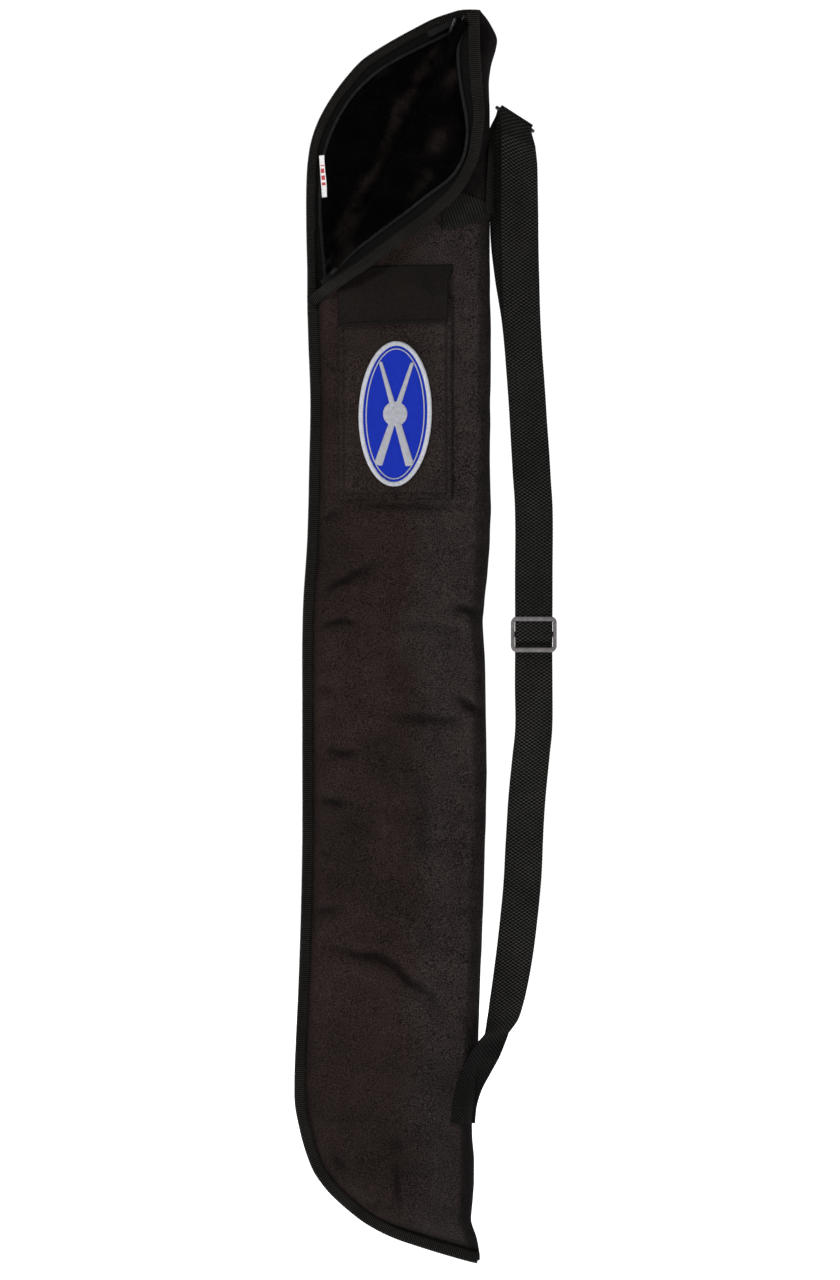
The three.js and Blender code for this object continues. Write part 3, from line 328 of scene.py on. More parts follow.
class Mesh:
    """Collects parts of one piece."""

    def __init__(self):
        self.V, self.F, self.U, self.X, self.n = [], [], [], [], 0

    def add(self, V, F, uv=None, extra=None):
        V = np.asarray(V, float).reshape(-1, 3)
        self.V.append(V)
        self.F.append(np.asarray(F, int) + self.n)
        self.U.append(np.zeros((len(V), 2)) if uv is None else np.asarray(uv, float).reshape(-1, 2))
        self.X += [[i + self.n for i in f] for f in (extra or [])]
        self.n += len(V)

    def slab(self, top, bot, uv=None):
        """Closed sheet between two grids of points (nu, nv, 3)."""
        nu, nv = top.shape[:2]
        t, b = np.arange(nu * nv).reshape(nu, nv), np.arange(nu * nv).reshape(nu, nv) + nu * nv
        F = [grid_faces(nu, nv), grid_faces(nu, nv, nu * nv)[:, ::-1]]
        rim = np.r_[t[:-1, 0], t[-1, :-1], t[1:, -1][::-1], t[0, 1:][::-1]]
        rb = rim + nu * nv
        F.append(np.stack([np.roll(rim, -1), rim, rb, np.roll(rb, -1)], 1))
        uv2 = None if uv is None else np.vstack([uv.reshape(-1, 2)] * 2)
        F = np.vstack(F)
        V = np.vstack([top.reshape(-1, 3), bot.reshape(-1, 3)])
        a, b_, c, d = (V[F[:, k]] for k in range(4))
        if (np.einsum("ij,ij->i", a, np.cross(b_, c)) + np.einsum("ij,ij->i", a, np.cross(c, d))).sum() < 0:
            F = F[:, ::-1]
        self.add(V, F, uv2)

    def tube(self, P, closed=False, caps=True, uv=None):
        """Rings (n, m, 3) joined in order."""
        n, m = P.shape[:2]
        F = grid_faces(n, m, wrap_u=closed, wrap_v=True)
        extra = [] if closed or not caps else [list(range(m))[::-1], [(n - 1) * m + i for i in range(m)]]
        V = P.reshape(-1, 3)
        a, b, c, d = (V[F[:, k]] for k in range(4))
        o = V.mean(0)
        if (np.einsum("ij,ij->i", a - o, np.cross(b - o, c - o)) + np.einsum("ij,ij->i", a - o, np.cross(c - o, d - o))).sum() < 0:
            F, extra = F[:, ::-1], [f[::-1] for f in extra]
        self.add(V, F, uv, extra)

    def make(self, name, material, smooth_shade=True):
        V, F, U = np.vstack(self.V) * 0.001, np.vstack(self.F), np.vstack(self.U)
        faces = F.tolist() + self.X
        me = bpy.data.meshes.new(name)
        me.from_pydata(V.tolist(), [], faces)
        layer = me.uv_layers.new(name="weave")
        li = np.empty(len(me.loops), np.int32)
        me.loops.foreach_get("vertex_index", li)
        layer.data.foreach_set("uv", (U[li] * 0.001).astype(np.float32).ravel())
        me.polygons.foreach_set("use_smooth", [smooth_shade] * len(me.polygons))
        me.update()
        ob = bpy.data.objects.new(name, me)
        scene.collection.objects.link(ob)
        me.materials.append(material)
        return ob


def tangents(P, closed=False):
    if closed:
        return unit(np.roll(P, -1, 0) - np.roll(P, 1, 0))
    return unit(np.gradient(P, axis=0))


def stitches(mesh, P, normals, length_mm=2.5, gap=0.9, r=0.24, sink=0.06):
    """A row of thread stitches lying on a surface along P, each a rounded grain that dips in at its ends."""
    P = np.asarray(P, float)
    s = np.r_[0, np.cumsum(np.linalg.norm(np.diff(P, axis=0), axis=1))]
    k = int(s[-1] // (length_mm + gap))
    at = lambda q, A: np.stack([np.interp(q, s, A[:, i]) for i in range(3)], -1)
    for i in range(k):
        q = i * (length_mm + gap) + gap / 2 + np.linspace(0, length_mm, 6)
        c, n = at(q, P), unit(at(q, np.asarray(normals, float)))
        t = unit(np.gradient(c, axis=0))
        b = unit(np.cross(t, n))
        u = np.linspace(-1, 1, 6)
        c = c + n * (r * (1 - u ** 4) - sink - r * 0.45)[:, None]
        rad = r * np.sqrt(np.clip(1 - u ** 6, 0.06, 1))
        ang = np.arange(6) * np.pi / 3
        ring = c[:, None] + b[:, None] * (np.cos(ang)[None, :, None] * rad[:, None, None] * 1.15) + n[:, None] * (np.sin(ang)[None, :, None] * rad[:, None, None])
        mesh.tube(ring)


# ------------------------------------------------------------------ materials
class MB:
    def __init__(self, name, rough=0.8, spec=0.2, metal=0.0, sheen=0.0, sheen_rough=0.5, sheen_tint=(1, 1, 1)):
        self.m = bpy.data.materials.new(name)
        self.m.use_nodes = True
        self.t = self.m.node_tree
        self.b = self.t.nodes["Principled BSDF"]
        self.b.inputs["Roughness"].default_value = rough
        self.b.inputs["Specular IOR Level"].default_value = spec
        self.b.inputs["Metallic"].default_value = metal
        self.b.inputs["Sheen Weight"].default_value = sheen
        self.b.inputs["Sheen Roughness"].default_value = sheen_rough
        self.b.inputs["Sheen Tint"].default_value = (*sheen_tint, 1)
        self.co = self.t.nodes.new("ShaderNodeTexCoord")

    def put(self, socket, v):
        if isinstance(v, bpy.types.NodeSocket):
            self.t.links.new(v, socket)
        elif isinstance(v, (tuple, list)) and len(v) == 3 and len(socket.default_value) == 4:
            socket.default_value = (*v, 1)
        else:
            socket.default_value = v

    def uv(self):
        n = self.t.nodes.new("ShaderNodeUVMap")
        n.uv_map = "weave"
        return n.outputs[0]

    def obj(self):
        return self.co.outputs["Object"]

    def noise(self, vec, scale, detail=2.0, rough=0.5, dist=0.0):
        n = self.t.nodes.new("ShaderNodeTexNoise")
        self.put(n.inputs["Vector"], vec)
        self.put(n.inputs["Scale"], scale)
        n.inputs["Detail"].default_value = detail
        n.inputs["Roughness"].default_value = rough
        n.inputs["Distortion"].default_value = dist
        return n.outputs["Fac"]

    def voronoi(self, vec, scale):
        n = self.t.nodes.new("ShaderNodeTexVoronoi")
        self.put(n.inputs["Vector"], vec)
        n.inputs["Scale"].default_value = scale
        return n.outputs["Distance"]

    def scale(self, vec, s):
        n = self.t.nodes.new("ShaderNodeMapping")
        self.put(n.inputs["Vector"], vec)
        n.inputs["Scale"].default_value = s
        return n.outputs[0]

    def rot(self, vec, r):
        n = self.t.nodes.new("ShaderNodeMapping")
        self.put(n.inputs["Vector"], vec)
        n.inputs["Rotation"].default_value = r
        return n.outputs[0]

    def xyz(self, vec):
        n = self.t.nodes.new("ShaderNodeSeparateXYZ")
        self.put(n.inputs[0], vec)
        return n.outputs[0], n.outputs[1], n.outputs[2]

    def op(self, kind, a, b=0.0, c=0.0):
        n = self.t.nodes.new("ShaderNodeMath")
        n.operation = kind
        for i, v in enumerate((a, b, c)):
            self.put(n.inputs[i], v)
        return n.outputs[0]

    def wave(self, v, pitch):
        """0..1 sine of a length (metres) with a pitch in metres."""
        return self.op("MULTIPLY_ADD", self.op("SINE", self.op("MULTIPLY", v, 2 * math.pi / pitch)), 0.5, 0.5)

    def ramp(self, fac, stops):
        n = self.t.nodes.new("ShaderNodeValToRGB")
        self.put(n.inputs[0], fac)
        e = n.color_ramp.elements
        while len(e) < len(stops):
            e.new(0.5)
        for el, (p, c) in zip(e, stops):
            el.position = p
            el.color = (*c, 1) if not isinstance(c, float) else (c, c, c, 1)
        return n.outputs[0]

    def mix(self, fac, a, b, kind="MIX"):
        n = self.t.nodes.new("ShaderNodeMix")
        n.data_type = "RGBA"
        n.blend_type = kind
        self.put(n.inputs[0], fac)
        self.put(n.inputs[6], a)
        self.put(n.inputs[7], b)
        return n.outputs[2]

    def color(self, v):
        self.put(self.b.inputs["Base Color"], v)
        return self

    def rough(self, v):
        self.put(self.b.inputs["Roughness"], v)
        return self

    def bump(self, h, dist, strength=1.0, prev=None):
        n = self.t.nodes.new("ShaderNodeBump")
        n.inputs["Strength"].default_value = strength
        n.inputs["Distance"].default_value = dist
        self.put(n.inputs["Height"], h)
        if prev is not None:
            self.put(n.inputs["Normal"], prev)
        return n.outputs[0]

    def normal(self, v):
        self.put(self.b.inputs["Normal"], v)
        return self


def cloth(name, dark, light, pitch=0.0011, grain=1.55, sheen=0.0, spec=0.05, rough=0.72, by_uv=False, bump=0.00018, lit_side_tint=None):
    """Plain basket weave with slubs, worn patches and a faint dusty sheen; the lighter tint is painted on its flatter
    right side, where the light falls.
    """
    k = MB(name, rough, spec, sheen=sheen, sheen_rough=0.45, sheen_tint=(1, 0.93, 0.9))
    vec = k.uv() if by_uv else k.obj()
    x, y, z = k.xyz(vec)
    u, v = (x, y) if by_uv else (x, z)
    wob = k.noise(vec, 90, 2)
    u = k.op("MULTIPLY_ADD", wob, pitch * 0.9, u)
    v = k.op("MULTIPLY_ADD", wob, pitch * 0.7, v)
    a, b = k.wave(u, pitch), k.wave(v, pitch * 0.92)
    weave = k.op("ADD", k.op("MULTIPLY", a, b), k.op("MULTIPLY", k.op("SUBTRACT", 1, a), k.op("SUBTRACT", 1, b)))
    slub = k.noise(k.scale(vec, (420, 420, 1100)), 1.0, 3, 0.65)
    speck = k.noise(vec, 1250, 2, 0.7)
    large = k.noise(vec, 14, 3, 0.6)
    mid = k.noise(vec, 55, 3, 0.6)
    f = k.op("SUBTRACT", k.op("ADD", k.op("MULTIPLY", weave, 0.22), k.op("MULTIPLY", speck, grain)), 0.385)
    f = k.op("ADD", f, k.op("MULTIPLY", k.op("SUBTRACT", large, 0.5), 0.22))
    f = k.op("ADD", f, k.op("MULTIPLY", k.op("SUBTRACT", mid, 0.5), 0.16))
    col = k.ramp(f, [(0.35, dark), (0.66, light)])
    # Painted light: a lighter, greyer colour mixed in towards +x, on the flatter right side that faces the light.
    if lit_side_tint is not None:
        side = k.op("MULTIPLY_ADD", k.op("SUBTRACT", k.noise(vec, 22, 3, 0.6), 0.5), 0.05, x)
        side = k.ramp(k.op("MULTIPLY_ADD", side, 18.0, 0.25), [(0.30, 0.0), (0.62, 1.0)])
        col = k.mix(k.op("MULTIPLY", side, 0.85), col, k.ramp(f, [(0.35, dark), (0.66, lit_side_tint)]))
    # Painted shade: where the 'fold' attribute is set, the colour is mixed towards near-black.
    at = k.t.nodes.new("ShaderNodeAttribute")
    at.attribute_name = "fold"
    k.color(k.mix(at.outputs["Fac"], col, k.mix(0.84, col, (0.0012, 0.0011, 0.0012))))
    k.rough(k.op("MULTIPLY_ADD", slub, 0.2, rough - 0.1))
    n1 = k.bump(weave, bump, 0.9)
    n2 = k.bump(slub, bump * 0.9, 0.6, n1)
    k.normal(n2)
    return k.m


def tape(name, dark, light, pitch=0.0013, sheen=0.0, rough=0.6, spec=0.06, twill=0.0, brick=0.0, strap=0.0):
    """Narrow woven tape: ribs across it (uv x runs along, y across); brick sets ribs off by half a pitch in columns of that width."""
    k = MB(name, rough, spec, sheen=sheen, sheen_rough=0.4)
    u, v, _ = k.xyz(k.uv())
    uu = k.op("MULTIPLY_ADD", v, twill, u) if twill else u
    if brick:
        par = k.op("MODULO", k.op("FLOOR", k.op("DIVIDE", k.op("ADD", v, 1.0), brick)), 2.0)
        uu = k.op("MULTIPLY_ADD", par, pitch / 2, uu)
    rib = k.op("MULTIPLY_ADD", k.op("COSINE", k.op("MULTIPLY", uu, 2 * math.pi / pitch)), 0.5, 0.5)
    warp = k.wave(v, brick / 2 if brick else 0.00062)
    n = k.noise(k.scale(k.uv(), (900, 1500, 1)), 1.0, 3, 0.7)
    wear = k.noise(k.obj(), 40, 3, 0.6)
    f = k.op("ADD", k.op("MULTIPLY", rib, 0.55), k.op("MULTIPLY", n, 0.5))
    f = k.op("ADD", f, k.op("MULTIPLY", k.op("SUBTRACT", wear, 0.5), 0.22))
    f = k.op("SUBTRACT", f, k.op("MULTIPLY", k.op("SUBTRACT", 1.0, warp), 0.10))
    col = k.ramp(f, [(0.44, dark), (0.64, tuple(d * 0.72 + l * 0.28 for d, l in zip(dark, light))), (0.90, light)])
    # Painted shade: the strap amount darkens the webbing above z 0 (most on the rear layer, behind the front layer),
    # and the lower end at the tab is darkened; both edges are also made darker.
    if strap:
        z = k.xyz(k.obj())[2]
        up = k.ramp(k.op("MULTIPLY_ADD", z, 20.0, 0.0), [(0.0, 0.0), (0.4, 1.0)])
        low = k.ramp(k.op("MULTIPLY_ADD", z, -30.0, -7.6), [(0.0, 0.0), (0.6, 1.0)])
        col = k.mix(k.op("ADD", k.op("MULTIPLY", up, strap), k.op("MULTIPLY", low, 0.66)), col, (0.0008, 0.0008, 0.0008))
        rim = k.op("MAXIMUM", k.op("LESS_THAN", v, 0.0007), k.op("GREATER_THAN", v, 0.0245))
        col = k.mix(k.op("MULTIPLY", rim, 0.6), col, (0.0008, 0.0008, 0.0008))
    k.color(col)
    k.rough(k.op("MULTIPLY_ADD", n, 0.25, rough - 0.12))
    k.normal(k.bump(warp, 0.00012, 0.8, k.bump(rib, 0.00022, 0.8)))
    return k.m


def plastic(name, dark, light, rough=0.42, metal=0.0, spec=0.45):
    k = MB(name, rough, spec, metal)
    a = k.noise(k.obj(), 260, 4, 0.65)
    b = k.noise(k.scale(k.obj(), (1500, 300, 300)), 1.0, 3, 0.7)
    wear = k.noise(k.obj(), 1400, 3, 0.7)
    k.color(k.ramp(k.op("ADD", k.op("MULTIPLY", a, 0.6), k.op("MULTIPLY", wear, 0.4)), [(0.3, dark), (0.75, light)]))
    k.rough(k.op("MULTIPLY_ADD", b, 0.28, rough - 0.12))
    k.normal(k.bump(wear, 0.00005, 0.5, k.bump(a, 0.00012, 0.35)))
    return k.m


def plush(name, dark, light):
    k = MB(name, 0.5, 0.04, sheen=0.0)
    big = k.noise(k.obj(), 60, 3, 0.6)
    fine = k.noise(k.scale(k.obj(), (900, 900, 260)), 1.0, 3, 0.7)
    f = k.op("ADD", k.op("MULTIPLY", big, 0.55), k.op("MULTIPLY", fine, 0.45))
    # Painted sheen: the noise ramp gives patches from near-black to a lighter brown, and where the 'lit' attribute is
    # set the colour is mixed towards a brighter brown.
    at = k.t.nodes.new("ShaderNodeAttribute")
    at.attribute_name = "lit"
    col = k.ramp(f, [(0.44, dark), (0.56, tuple(d * 0.75 + l * 0.25 for d, l in zip(dark, light))), (0.74, light)])
    k.color(k.mix(k.op("MULTIPLY", at.outputs["Fac"], k.op("MULTIPLY_ADD", fine, 1.2, 0.2)), col, (0.026, 0.0185, 0.0172)))
    k.rough(k.op("MULTIPLY_ADD", fine, 0.3, 0.36))
    k.normal(k.bump(fine, 0.0004, 0.8))
    return k.m


M_SHELL = cloth("shell_nylon", (0.0046, 0.0026, 0.0022), (0.0330, 0.0215, 0.0185), lit_side_tint=(0.0400, 0.0325, 0.0310))
M_POCKET = cloth("pocket_nylon", (0.0050, 0.0032, 0.0028), (0.0335, 0.0235, 0.0210), lit_side_tint=(0.0370, 0.0290, 0.0270))
M_COVER = cloth("pocket_cover_nylon", (0.0022, 0.0013, 0.0009), (0.0088, 0.0058, 0.0042), spec=0.08, rough=0.45)
M_BIND = tape("grosgrain_binding", (0.0005, 0.0005, 0.0004), (0.0470, 0.0430, 0.0380), 0.0013)
M_ZTAPE = tape("zipper_tape_weave", (0.0008, 0.0007, 0.0007), (0.0130, 0.0115, 0.0105), 0.0009)
# One webbing in two copies: the rear layer's has more painted shade above z 0 than the front layer's.
M_WEB = tape("strap_webbing", (0.0003, 0.0003, 0.0003), (0.0640, 0.0610, 0.0530), 0.00235, brick=0.0018, strap=0.55)
M_WEB_FRONT = tape("strap_webbing_front", (0.0003, 0.0003, 0.0003), (0.0580, 0.0560, 0.0490), 0.00235, brick=0.0018, strap=0.12)
M_TAB = tape("tab_webbing", (0.0012, 0.0011, 0.0010), (0.0360, 0.0345, 0.0310), 0.0021, twill=1.0, brick=0.0016)
M_COIL = plastic("coil_nylon", (0.004, 0.004, 0.004), (0.024, 0.023, 0.023), 0.5, 0.0, 0.15)
M_METAL = plastic("zip_metal_black", (0.0015, 0.0015, 0.0016), (0.0075, 0.0075, 0.008), 0.45, 0.0, 0.12)
M_ADJ = plastic("adjuster_plastic", (0.050, 0.043, 0.045), (0.190, 0.172, 0.174), 0.36, 0.0, 0.5)
M_RING = plastic("ring_plastic", (0.003, 0.003, 0.0035), (0.012, 0.012, 0.013), 0.34, 0.0, 0.3)
M_PLUSH = plush("lining_plush", (0.0001, 0.0001, 0.0001), (0.0022, 0.0016, 0.0015))
for node in M_PLUSH.node_tree.nodes:
    if node.type == "BSDF_PRINCIPLED":
        node.inputs["Specular IOR Level"].default_value = 0.015
M_PILE = plush("lining_pile", (0.0001, 0.0001, 0.0001), (0.0095, 0.0066, 0.0060))
M_THREAD = tape("sewing_thread", (0.002, 0.0017, 0.0015), (0.016, 0.0125, 0.0115), 0.0006)

# ------------------------------------------------------------------ sleeve shell
def left_at(z, e):
    """x on each row where the outline's margin is e."""
    z = np.asarray(z, float)
    lo = along_z(OUTLINE_L, z) + 0.05
    hi = spine_x(z) - 3.0
    a, b = lo.copy(), hi.copy()
    for _ in range(26):
        m = (a + b) / 2
        ins = seg_dist(m, z, OUTLINE_L) >= e
        b = np.where(ins, m, b)
        a = np.where(ins, a, m)
    return b


def cut_x(z):
    return HA[0] + (z - HA[1]) * D2[0] / D2[1] + CUT_S / N2[0]


def roll_of(z):
    xr = spine_x(z)
    yb, yf = back_y(xr - 9, z), front_y(xr - 9, z)
    r = (yb - yf) / 2
    return xr, r, xr - r, (yb + yf) / 2, yb, yf


ZS = np.r_[np.linspace(418.6, 400, 11), np.arange(398.3, -416.6, -1.7), -417.2]
NB, NR, NF = 24, 16, 74


def sleeve_rows(z, margin, depth_in, front_margin=None, nb=NB, nr=NR, nf=NF, mouth_left=None):
    """Rows of the U-shaped wall, depth_in measured inwards from the outer surface. Returns (len(z), columns, 3)."""
    z = np.asarray(z, float)
    xr, r, cx, cy, yb, yf = roll_of(z)
    xl = left_at(z, margin)
    if mouth_left is not None:
        xl = np.where(z >= MOUTH_Z, mouth_left(z), xl)
    xl = np.minimum(xl, cx - 1.5)
    tb = np.linspace(0, 1, nb) ** 1.35
    xb = xl[:, None] + (cx - xl)[:, None] * tb[None]
    Z = z[:, None]
    yB = back_y(xb, np.broadcast_to(Z, xb.shape))
    # meet the roll exactly
    fade = tb[None] ** 8
    yB = yB + (yb[:, None] - yB[:, -1:]) * fade
    back = np.stack([xb, yB - depth_in, np.broadcast_to(Z, xb.shape)], -1)
    ang = np.linspace(np.pi / 2, -np.pi / 2, nr + 2)[1:-1]
    rr = np.maximum(0.3, r - depth_in)[:, None]
    w = 0.25 * vnoise(ang[None] * 12, Z, 14, 31) * np.minimum(1, depth_in * 0 + 1)
    roll = np.stack([cx[:, None] + (rr + w) * np.cos(ang), cy[:, None] + (rr + w) * np.sin(ang), np.broadcast_to(Z, (len(z), nr))], -1)
    xlf = left_at(z, margin if front_margin is None else front_margin)
    xlf = np.where(z >= MOUTH_Z, np.minimum(cut_x(z), cx - 3), np.minimum(xlf, cx - 1.5))
    tf = 1 - np.linspace(0, 1, nf) ** 1.15
    xf = xlf[:, None] + (cx - xlf)[:, None] * tf[None]
    yF = front_y(xf, np.broadcast_to(Z, xf.shape))
    yF = yF + (yf[:, None] - yF[:, :1]) * (tf[None] ** 8)
    front = np.stack([xf, yF + depth_in, np.broadcast_to(Z, xf.shape)], -1)
    return np.concatenate([back, roll, front], 1)


def arc_uv(G):
    d = np.linalg.norm(np.diff(G, axis=1), axis=2)
    u = np.concatenate([np.zeros((G.shape[0], 1)), np.cumsum(d, 1)], 1)
    return np.stack([u, G[..., 2]], -1)


outer = sleeve_rows(ZS, 1.9, 0.0)
inner = sleeve_rows(ZS, 1.9, 0.8)
m = Mesh()
m.slab(outer, inner, arc_uv(outer))
shell = m.make("case_shell", M_SHELL)
x_, z_ = outer[..., 0], outer[..., 2]
e_ = seg_dist(x_, z_, SEWN_L) - low_margin(z_)
cr_ = np.where(np.arange(outer.shape[1])[None] >= NB + NR, creases(x_, z_) * smooth((e_ - PINCH_0 + 0.5) / 5), 0)
# Painted shade kept in the 'fold' attribute: in the creases, in a band on the spine's roll below z 330 that turns away
# from the light, over the top above z 262, and as a contact shadow along the binding; also shade in patches on the left
# side, which slopes away, darker towards the bottom, and random darker patches.
painted_shade = 0.8 * np.clip(cr_ / 1.9, 0, 1)
col_ = np.arange(outer.shape[1])[None] + 0 * x_
d_sp = spine_x(z_) - x_ + 2.2 * vnoise(z_, 0 * z_, 26, 151)
painted_shade = np.maximum(painted_shade, 0.62 * (1 - smooth((d_sp - 6.5) / 4.0)) * (z_ < 330))
painted_shade = np.maximum(painted_shade, 0.88 * smooth((z_ - 262) / 40))
painted_shade = np.maximum(painted_shade, 0.55 * np.exp(-np.clip(e_ - 7.6, 0, 99) / 1.8))
painted_shade = painted_shade + 0.38 * np.clip(fbm(x_, z_, 46, 161, 2), 0, 1) * (1 - smooth((x_ - 14) / 10)) + 0.30 * smooth((-235 - z_) / 130) + 0.16 * np.clip(fbm(x_, z_ * 1.6, 19, 165, 2), 0, 1)
set_painted_shade(shell, np.tile(painted_shade.ravel(), 2))
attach(shell, "case")
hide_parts("outer_shell", "back_padding", "front_padding")

LIT = [(spline(px((340, 240), (366, 187), (396, 123), (417, 77), (437, 52)), 20), 3.6, 0.8)] + \
      [(np.array([p_, p_ + [3.0, 6.0]]), w_, a_) for p_, w_, a_ in zip(np.array(px((437, 150), (375, 66), (447, 85), (346, 262), (420, 190))), (6.5, 5.0, 4.5, 7.0, 5.0), (0.75, 0.55, 0.5, 0.5, 0.45))]


def lit(x, z):
    """Painted sheen: where the nap leans towards the light, along the fold's streak and in spots, the colour is drawn
    lighter.
    """
    out = np.zeros(np.shape(x))
    xs, zs = x + 3.0 * vnoise(x, z, 12, 171), z + 3.0 * vnoise(x, z, 12, 172)
    for line, w, a in LIT:
        out = np.maximum(out, a * np.exp(-(seg_dist(xs, zs, line) / w) ** 2))
    return out * np.clip(0.75 + 0.6 * fbm(x, z, 7, 173, 2), 0, 1)


def set_lit(ob, values):
    ob.data.attributes.new("lit", "FLOAT", "POINT").data.foreach_set("value", np.clip(values, 0, 1).astype(np.float32))


# ------------------------------------------------------------------ lining of the sleeve
coil_x = lambda z: np.interp(z, np.array(BACK_COIL)[::-1, 1], np.array(BACK_COIL)[::-1, 0])


def mouth_left(z):
    slope = (coil_x(z + 2) - coil_x(z - 2)) / 4
    return np.where(z > 408, coil_x(408.0) + 3, coil_x(z)) + 1.4 * np.sqrt(1 + slope ** 2)


ZL = np.r_[np.arange(407, 214, -2.2), np.linspace(212, -388, 70)]
L0 = sleeve_rows(ZL, 15.0, 3.2, nb=54, nr=8, nf=26, mouth_left=mouth_left)
L1 = sleeve_rows(ZL, 15.0, 5.4, nb=54, nr=8, nf=26, mouth_left=mouth_left)
nb = 54
xx, zz = L1[:, :nb, 0], L1[:, :nb, 2]
edge = np.clip((xx - xx[:, :1]) / 5.0, 0, 1)
clump = 0.55 * fbm(xx, zz, 16, 41, 3) + 0.35 * vnoise(xx * 1.4, zz * 0.7, 5, 44)
L1[:, :nb, 1] = L0[:, :nb, 1] + (L1[:, :nb, 1] - L0[:, :nb, 1]) * (0.35 + 0.65 * np.sqrt(edge)) + np.where(zz > 216, clump * edge, 0)
m = Mesh()
m.slab(L1, L0, arc_uv(L1))
lining = m.make("plush_lining_sleeve", M_PLUSH)
set_lit(lining, np.concatenate([lit(L1[..., 0], L1[..., 2]).ravel(), np.zeros(L0[..., 0].size)]))
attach(lining, "case")
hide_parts("plush_lining")


def pile(name, roots, normals, comb, n_len, seed, material, r0=0.17):
    """Short curved tufts, each a closed three-sided spike."""
    rs = np.random.RandomState(seed)
    n = len(roots)
    L = n_len * (0.7 + 0.6 * rs.rand(n))[:, None]
    normals, comb = unit(normals), unit(comb + 0.35 * rs.randn(n, 3))
    comb = unit(comb - normals * np.einsum("ij,ij->i", comb, normals)[:, None])
    side = np.cross(normals, comb)
    p0 = roots - normals * 0.5
    p1 = roots + normals * L * 0.30 + comb * L * 0.28
    p2 = roots + normals * L * 0.38 + comb * L * 0.85 + side * L * (0.12 * rs.randn(n))[:, None]
    V = np.zeros((n, 7, 3))
    for k in range(3):
        a = 2 * math.pi * k / 3
        off = side * math.cos(a) + normals * math.sin(a)
        off2 = side * math.cos(a) + unit(np.cross(side, p1 - p0)) * math.sin(a)
        V[:, k] = p0 + off * r0
        V[:, 3 + k] = p1 + off2 * r0 * 0.8
    V[:, 6] = p2
    base = (np.arange(n) * 7)[:, None]
    quads = np.concatenate([base + np.array([[0, 1, 4, 3]]), base + np.array([[1, 2, 5, 4]]), base + np.array([[2, 0, 3, 5]])])
    tris = np.concatenate([base + np.array([[3, 4, 6]]), base + np.array([[4, 5, 6]]), base + np.array([[5, 3, 6]]), base + np.array([[2, 1, 0]])])
    me = bpy.data.meshes.new(name)
    me.from_pydata((V.reshape(-1, 3) * 0.001).tolist(), [], quads.tolist() + tris.tolist())
    me.polygons.foreach_set("use_smooth", [True] * len(me.polygons))
    me.update()
    ob = bpy.data.objects.new(name, me)
    scene.collection.objects.link(ob)
    me.materials.append(material)
    set_lit(ob, np.repeat(lit(roots[:, 0], roots[:, 2]), 7))
    return ob


def sample_grid(G, n, seed, keep=None):
    """Random points of a grid surface with its normals."""
    rs = np.random.RandomState(seed)
    a, b, c = G[:-1, :-1], G[1:, :-1], G[:-1, 1:]
    cr = np.cross(b - a, c - a)
    area = np.linalg.norm(cr, axis=2)
    if keep is not None:
        area = area * keep(a)
    p = (area / area.sum()).ravel()
    pick = rs.choice(len(p), n, p=p)
    i, j = np.unravel_index(pick, area.shape)
    u, v = rs.rand(n, 1), rs.rand(n, 1)
    pts = (G[i, j] * (1 - u) + G[i + 1, j] * u) * (1 - v) + (G[i, j + 1] * (1 - u) + G[i + 1, j + 1] * u) * v
    return pts, unit(cr[i, j])


# tufts on the part of the back lining that the open mouth shows
mouth_part = L1[:90, :nb]
keep = lambda a: ((a[..., 0] < cut_x(a[..., 2]) + 6) & (a[..., 2] > 228)).astype(float)
pts, nor = sample_grid(mouth_part, 9000, 3, keep)
nor[nor[:, 1] > 0] *= -1
swirl = 1.6 * fbm(pts[:, 0], pts[:, 2], 40, 51, 2)
comb = np.stack([-np.sin(swirl + 0.5), 0 * swirl, -np.cos(swirl + 0.5)], 1)
p = pile("plush_pile_sleeve", pts, nor, comb, 3.6, 4, M_PILE)
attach(p, "case")


def flap_y(x, y, z):
    """Depth of a layer of the folded corner; y is its depth as if on the back panel."""
    a = to_a(x, z)
    lift = 4.6 * (1 - smooth((seg_dist(x, z, FLAP_L) - 9) / 26)) * smooth((a - 2) / 22)
    return -18.3 + y - lift + 13.4 * smooth((18 - a) / 20) + 0.35 * vnoise(x, z, 26, 61)


def path_frames(line2, n):
    P = resample(line2, n)
    t = unit(np.gradient(P, axis=0))
    return P, t


def normals_in(P, t, flip):
    return np.stack([-flip * t[:, 1], flip * t[:, 0]], 1)


EXT = FLAP_EDGE + [[-53.6, 221.6], [-55.6, 220.4]]
FE_SM = spline(EXT, 400)
NT = 150
E, Et = path_frames(FE_SM, NT)
En = normals_in(E, Et, -1)
FC_SM = spline(FLAP_COIL, 200)
# distance along each inward normal to the coil line
rc = np.zeros(NT)
for i in range(NT):
    rel = FC_SM - E[i]
    along, off = rel @ En[i], np.abs(rel @ Et[i])
    j = np.argmin(off)
    rc[i] = along[j]
rc = np.convolve(np.pad(rc, 4, mode="edge"), np.ones(9) / 9, "valid")
rc = np.clip(rc, 8.5, 15)
tt = np.linspace(0, 1, NT)
fa = np.interp(tt, [0, 0.06, 0.93, 1], [216, 210, 14, 2])
FX, FZ = to_xz(fa, CUT_S)
Fold = np.stack([FX, FZ], 1)


def flap_grid(start, d, n, t0=0, t1=NT):
    """Grid from a curve start (NT, 2) to the fold line, at depth d."""
    k = np.linspace(0, 1, n)
    G = start[t0:t1, None] * (1 - k[None, :, None]) + Fold[t0:t1, None] * k[None, :, None]
    x, z = G[..., 0], G[..., 1]
    y = flap_y(x, (d if not callable(d) else d(x, z)), z)
    return np.stack([x, y, z], -1)


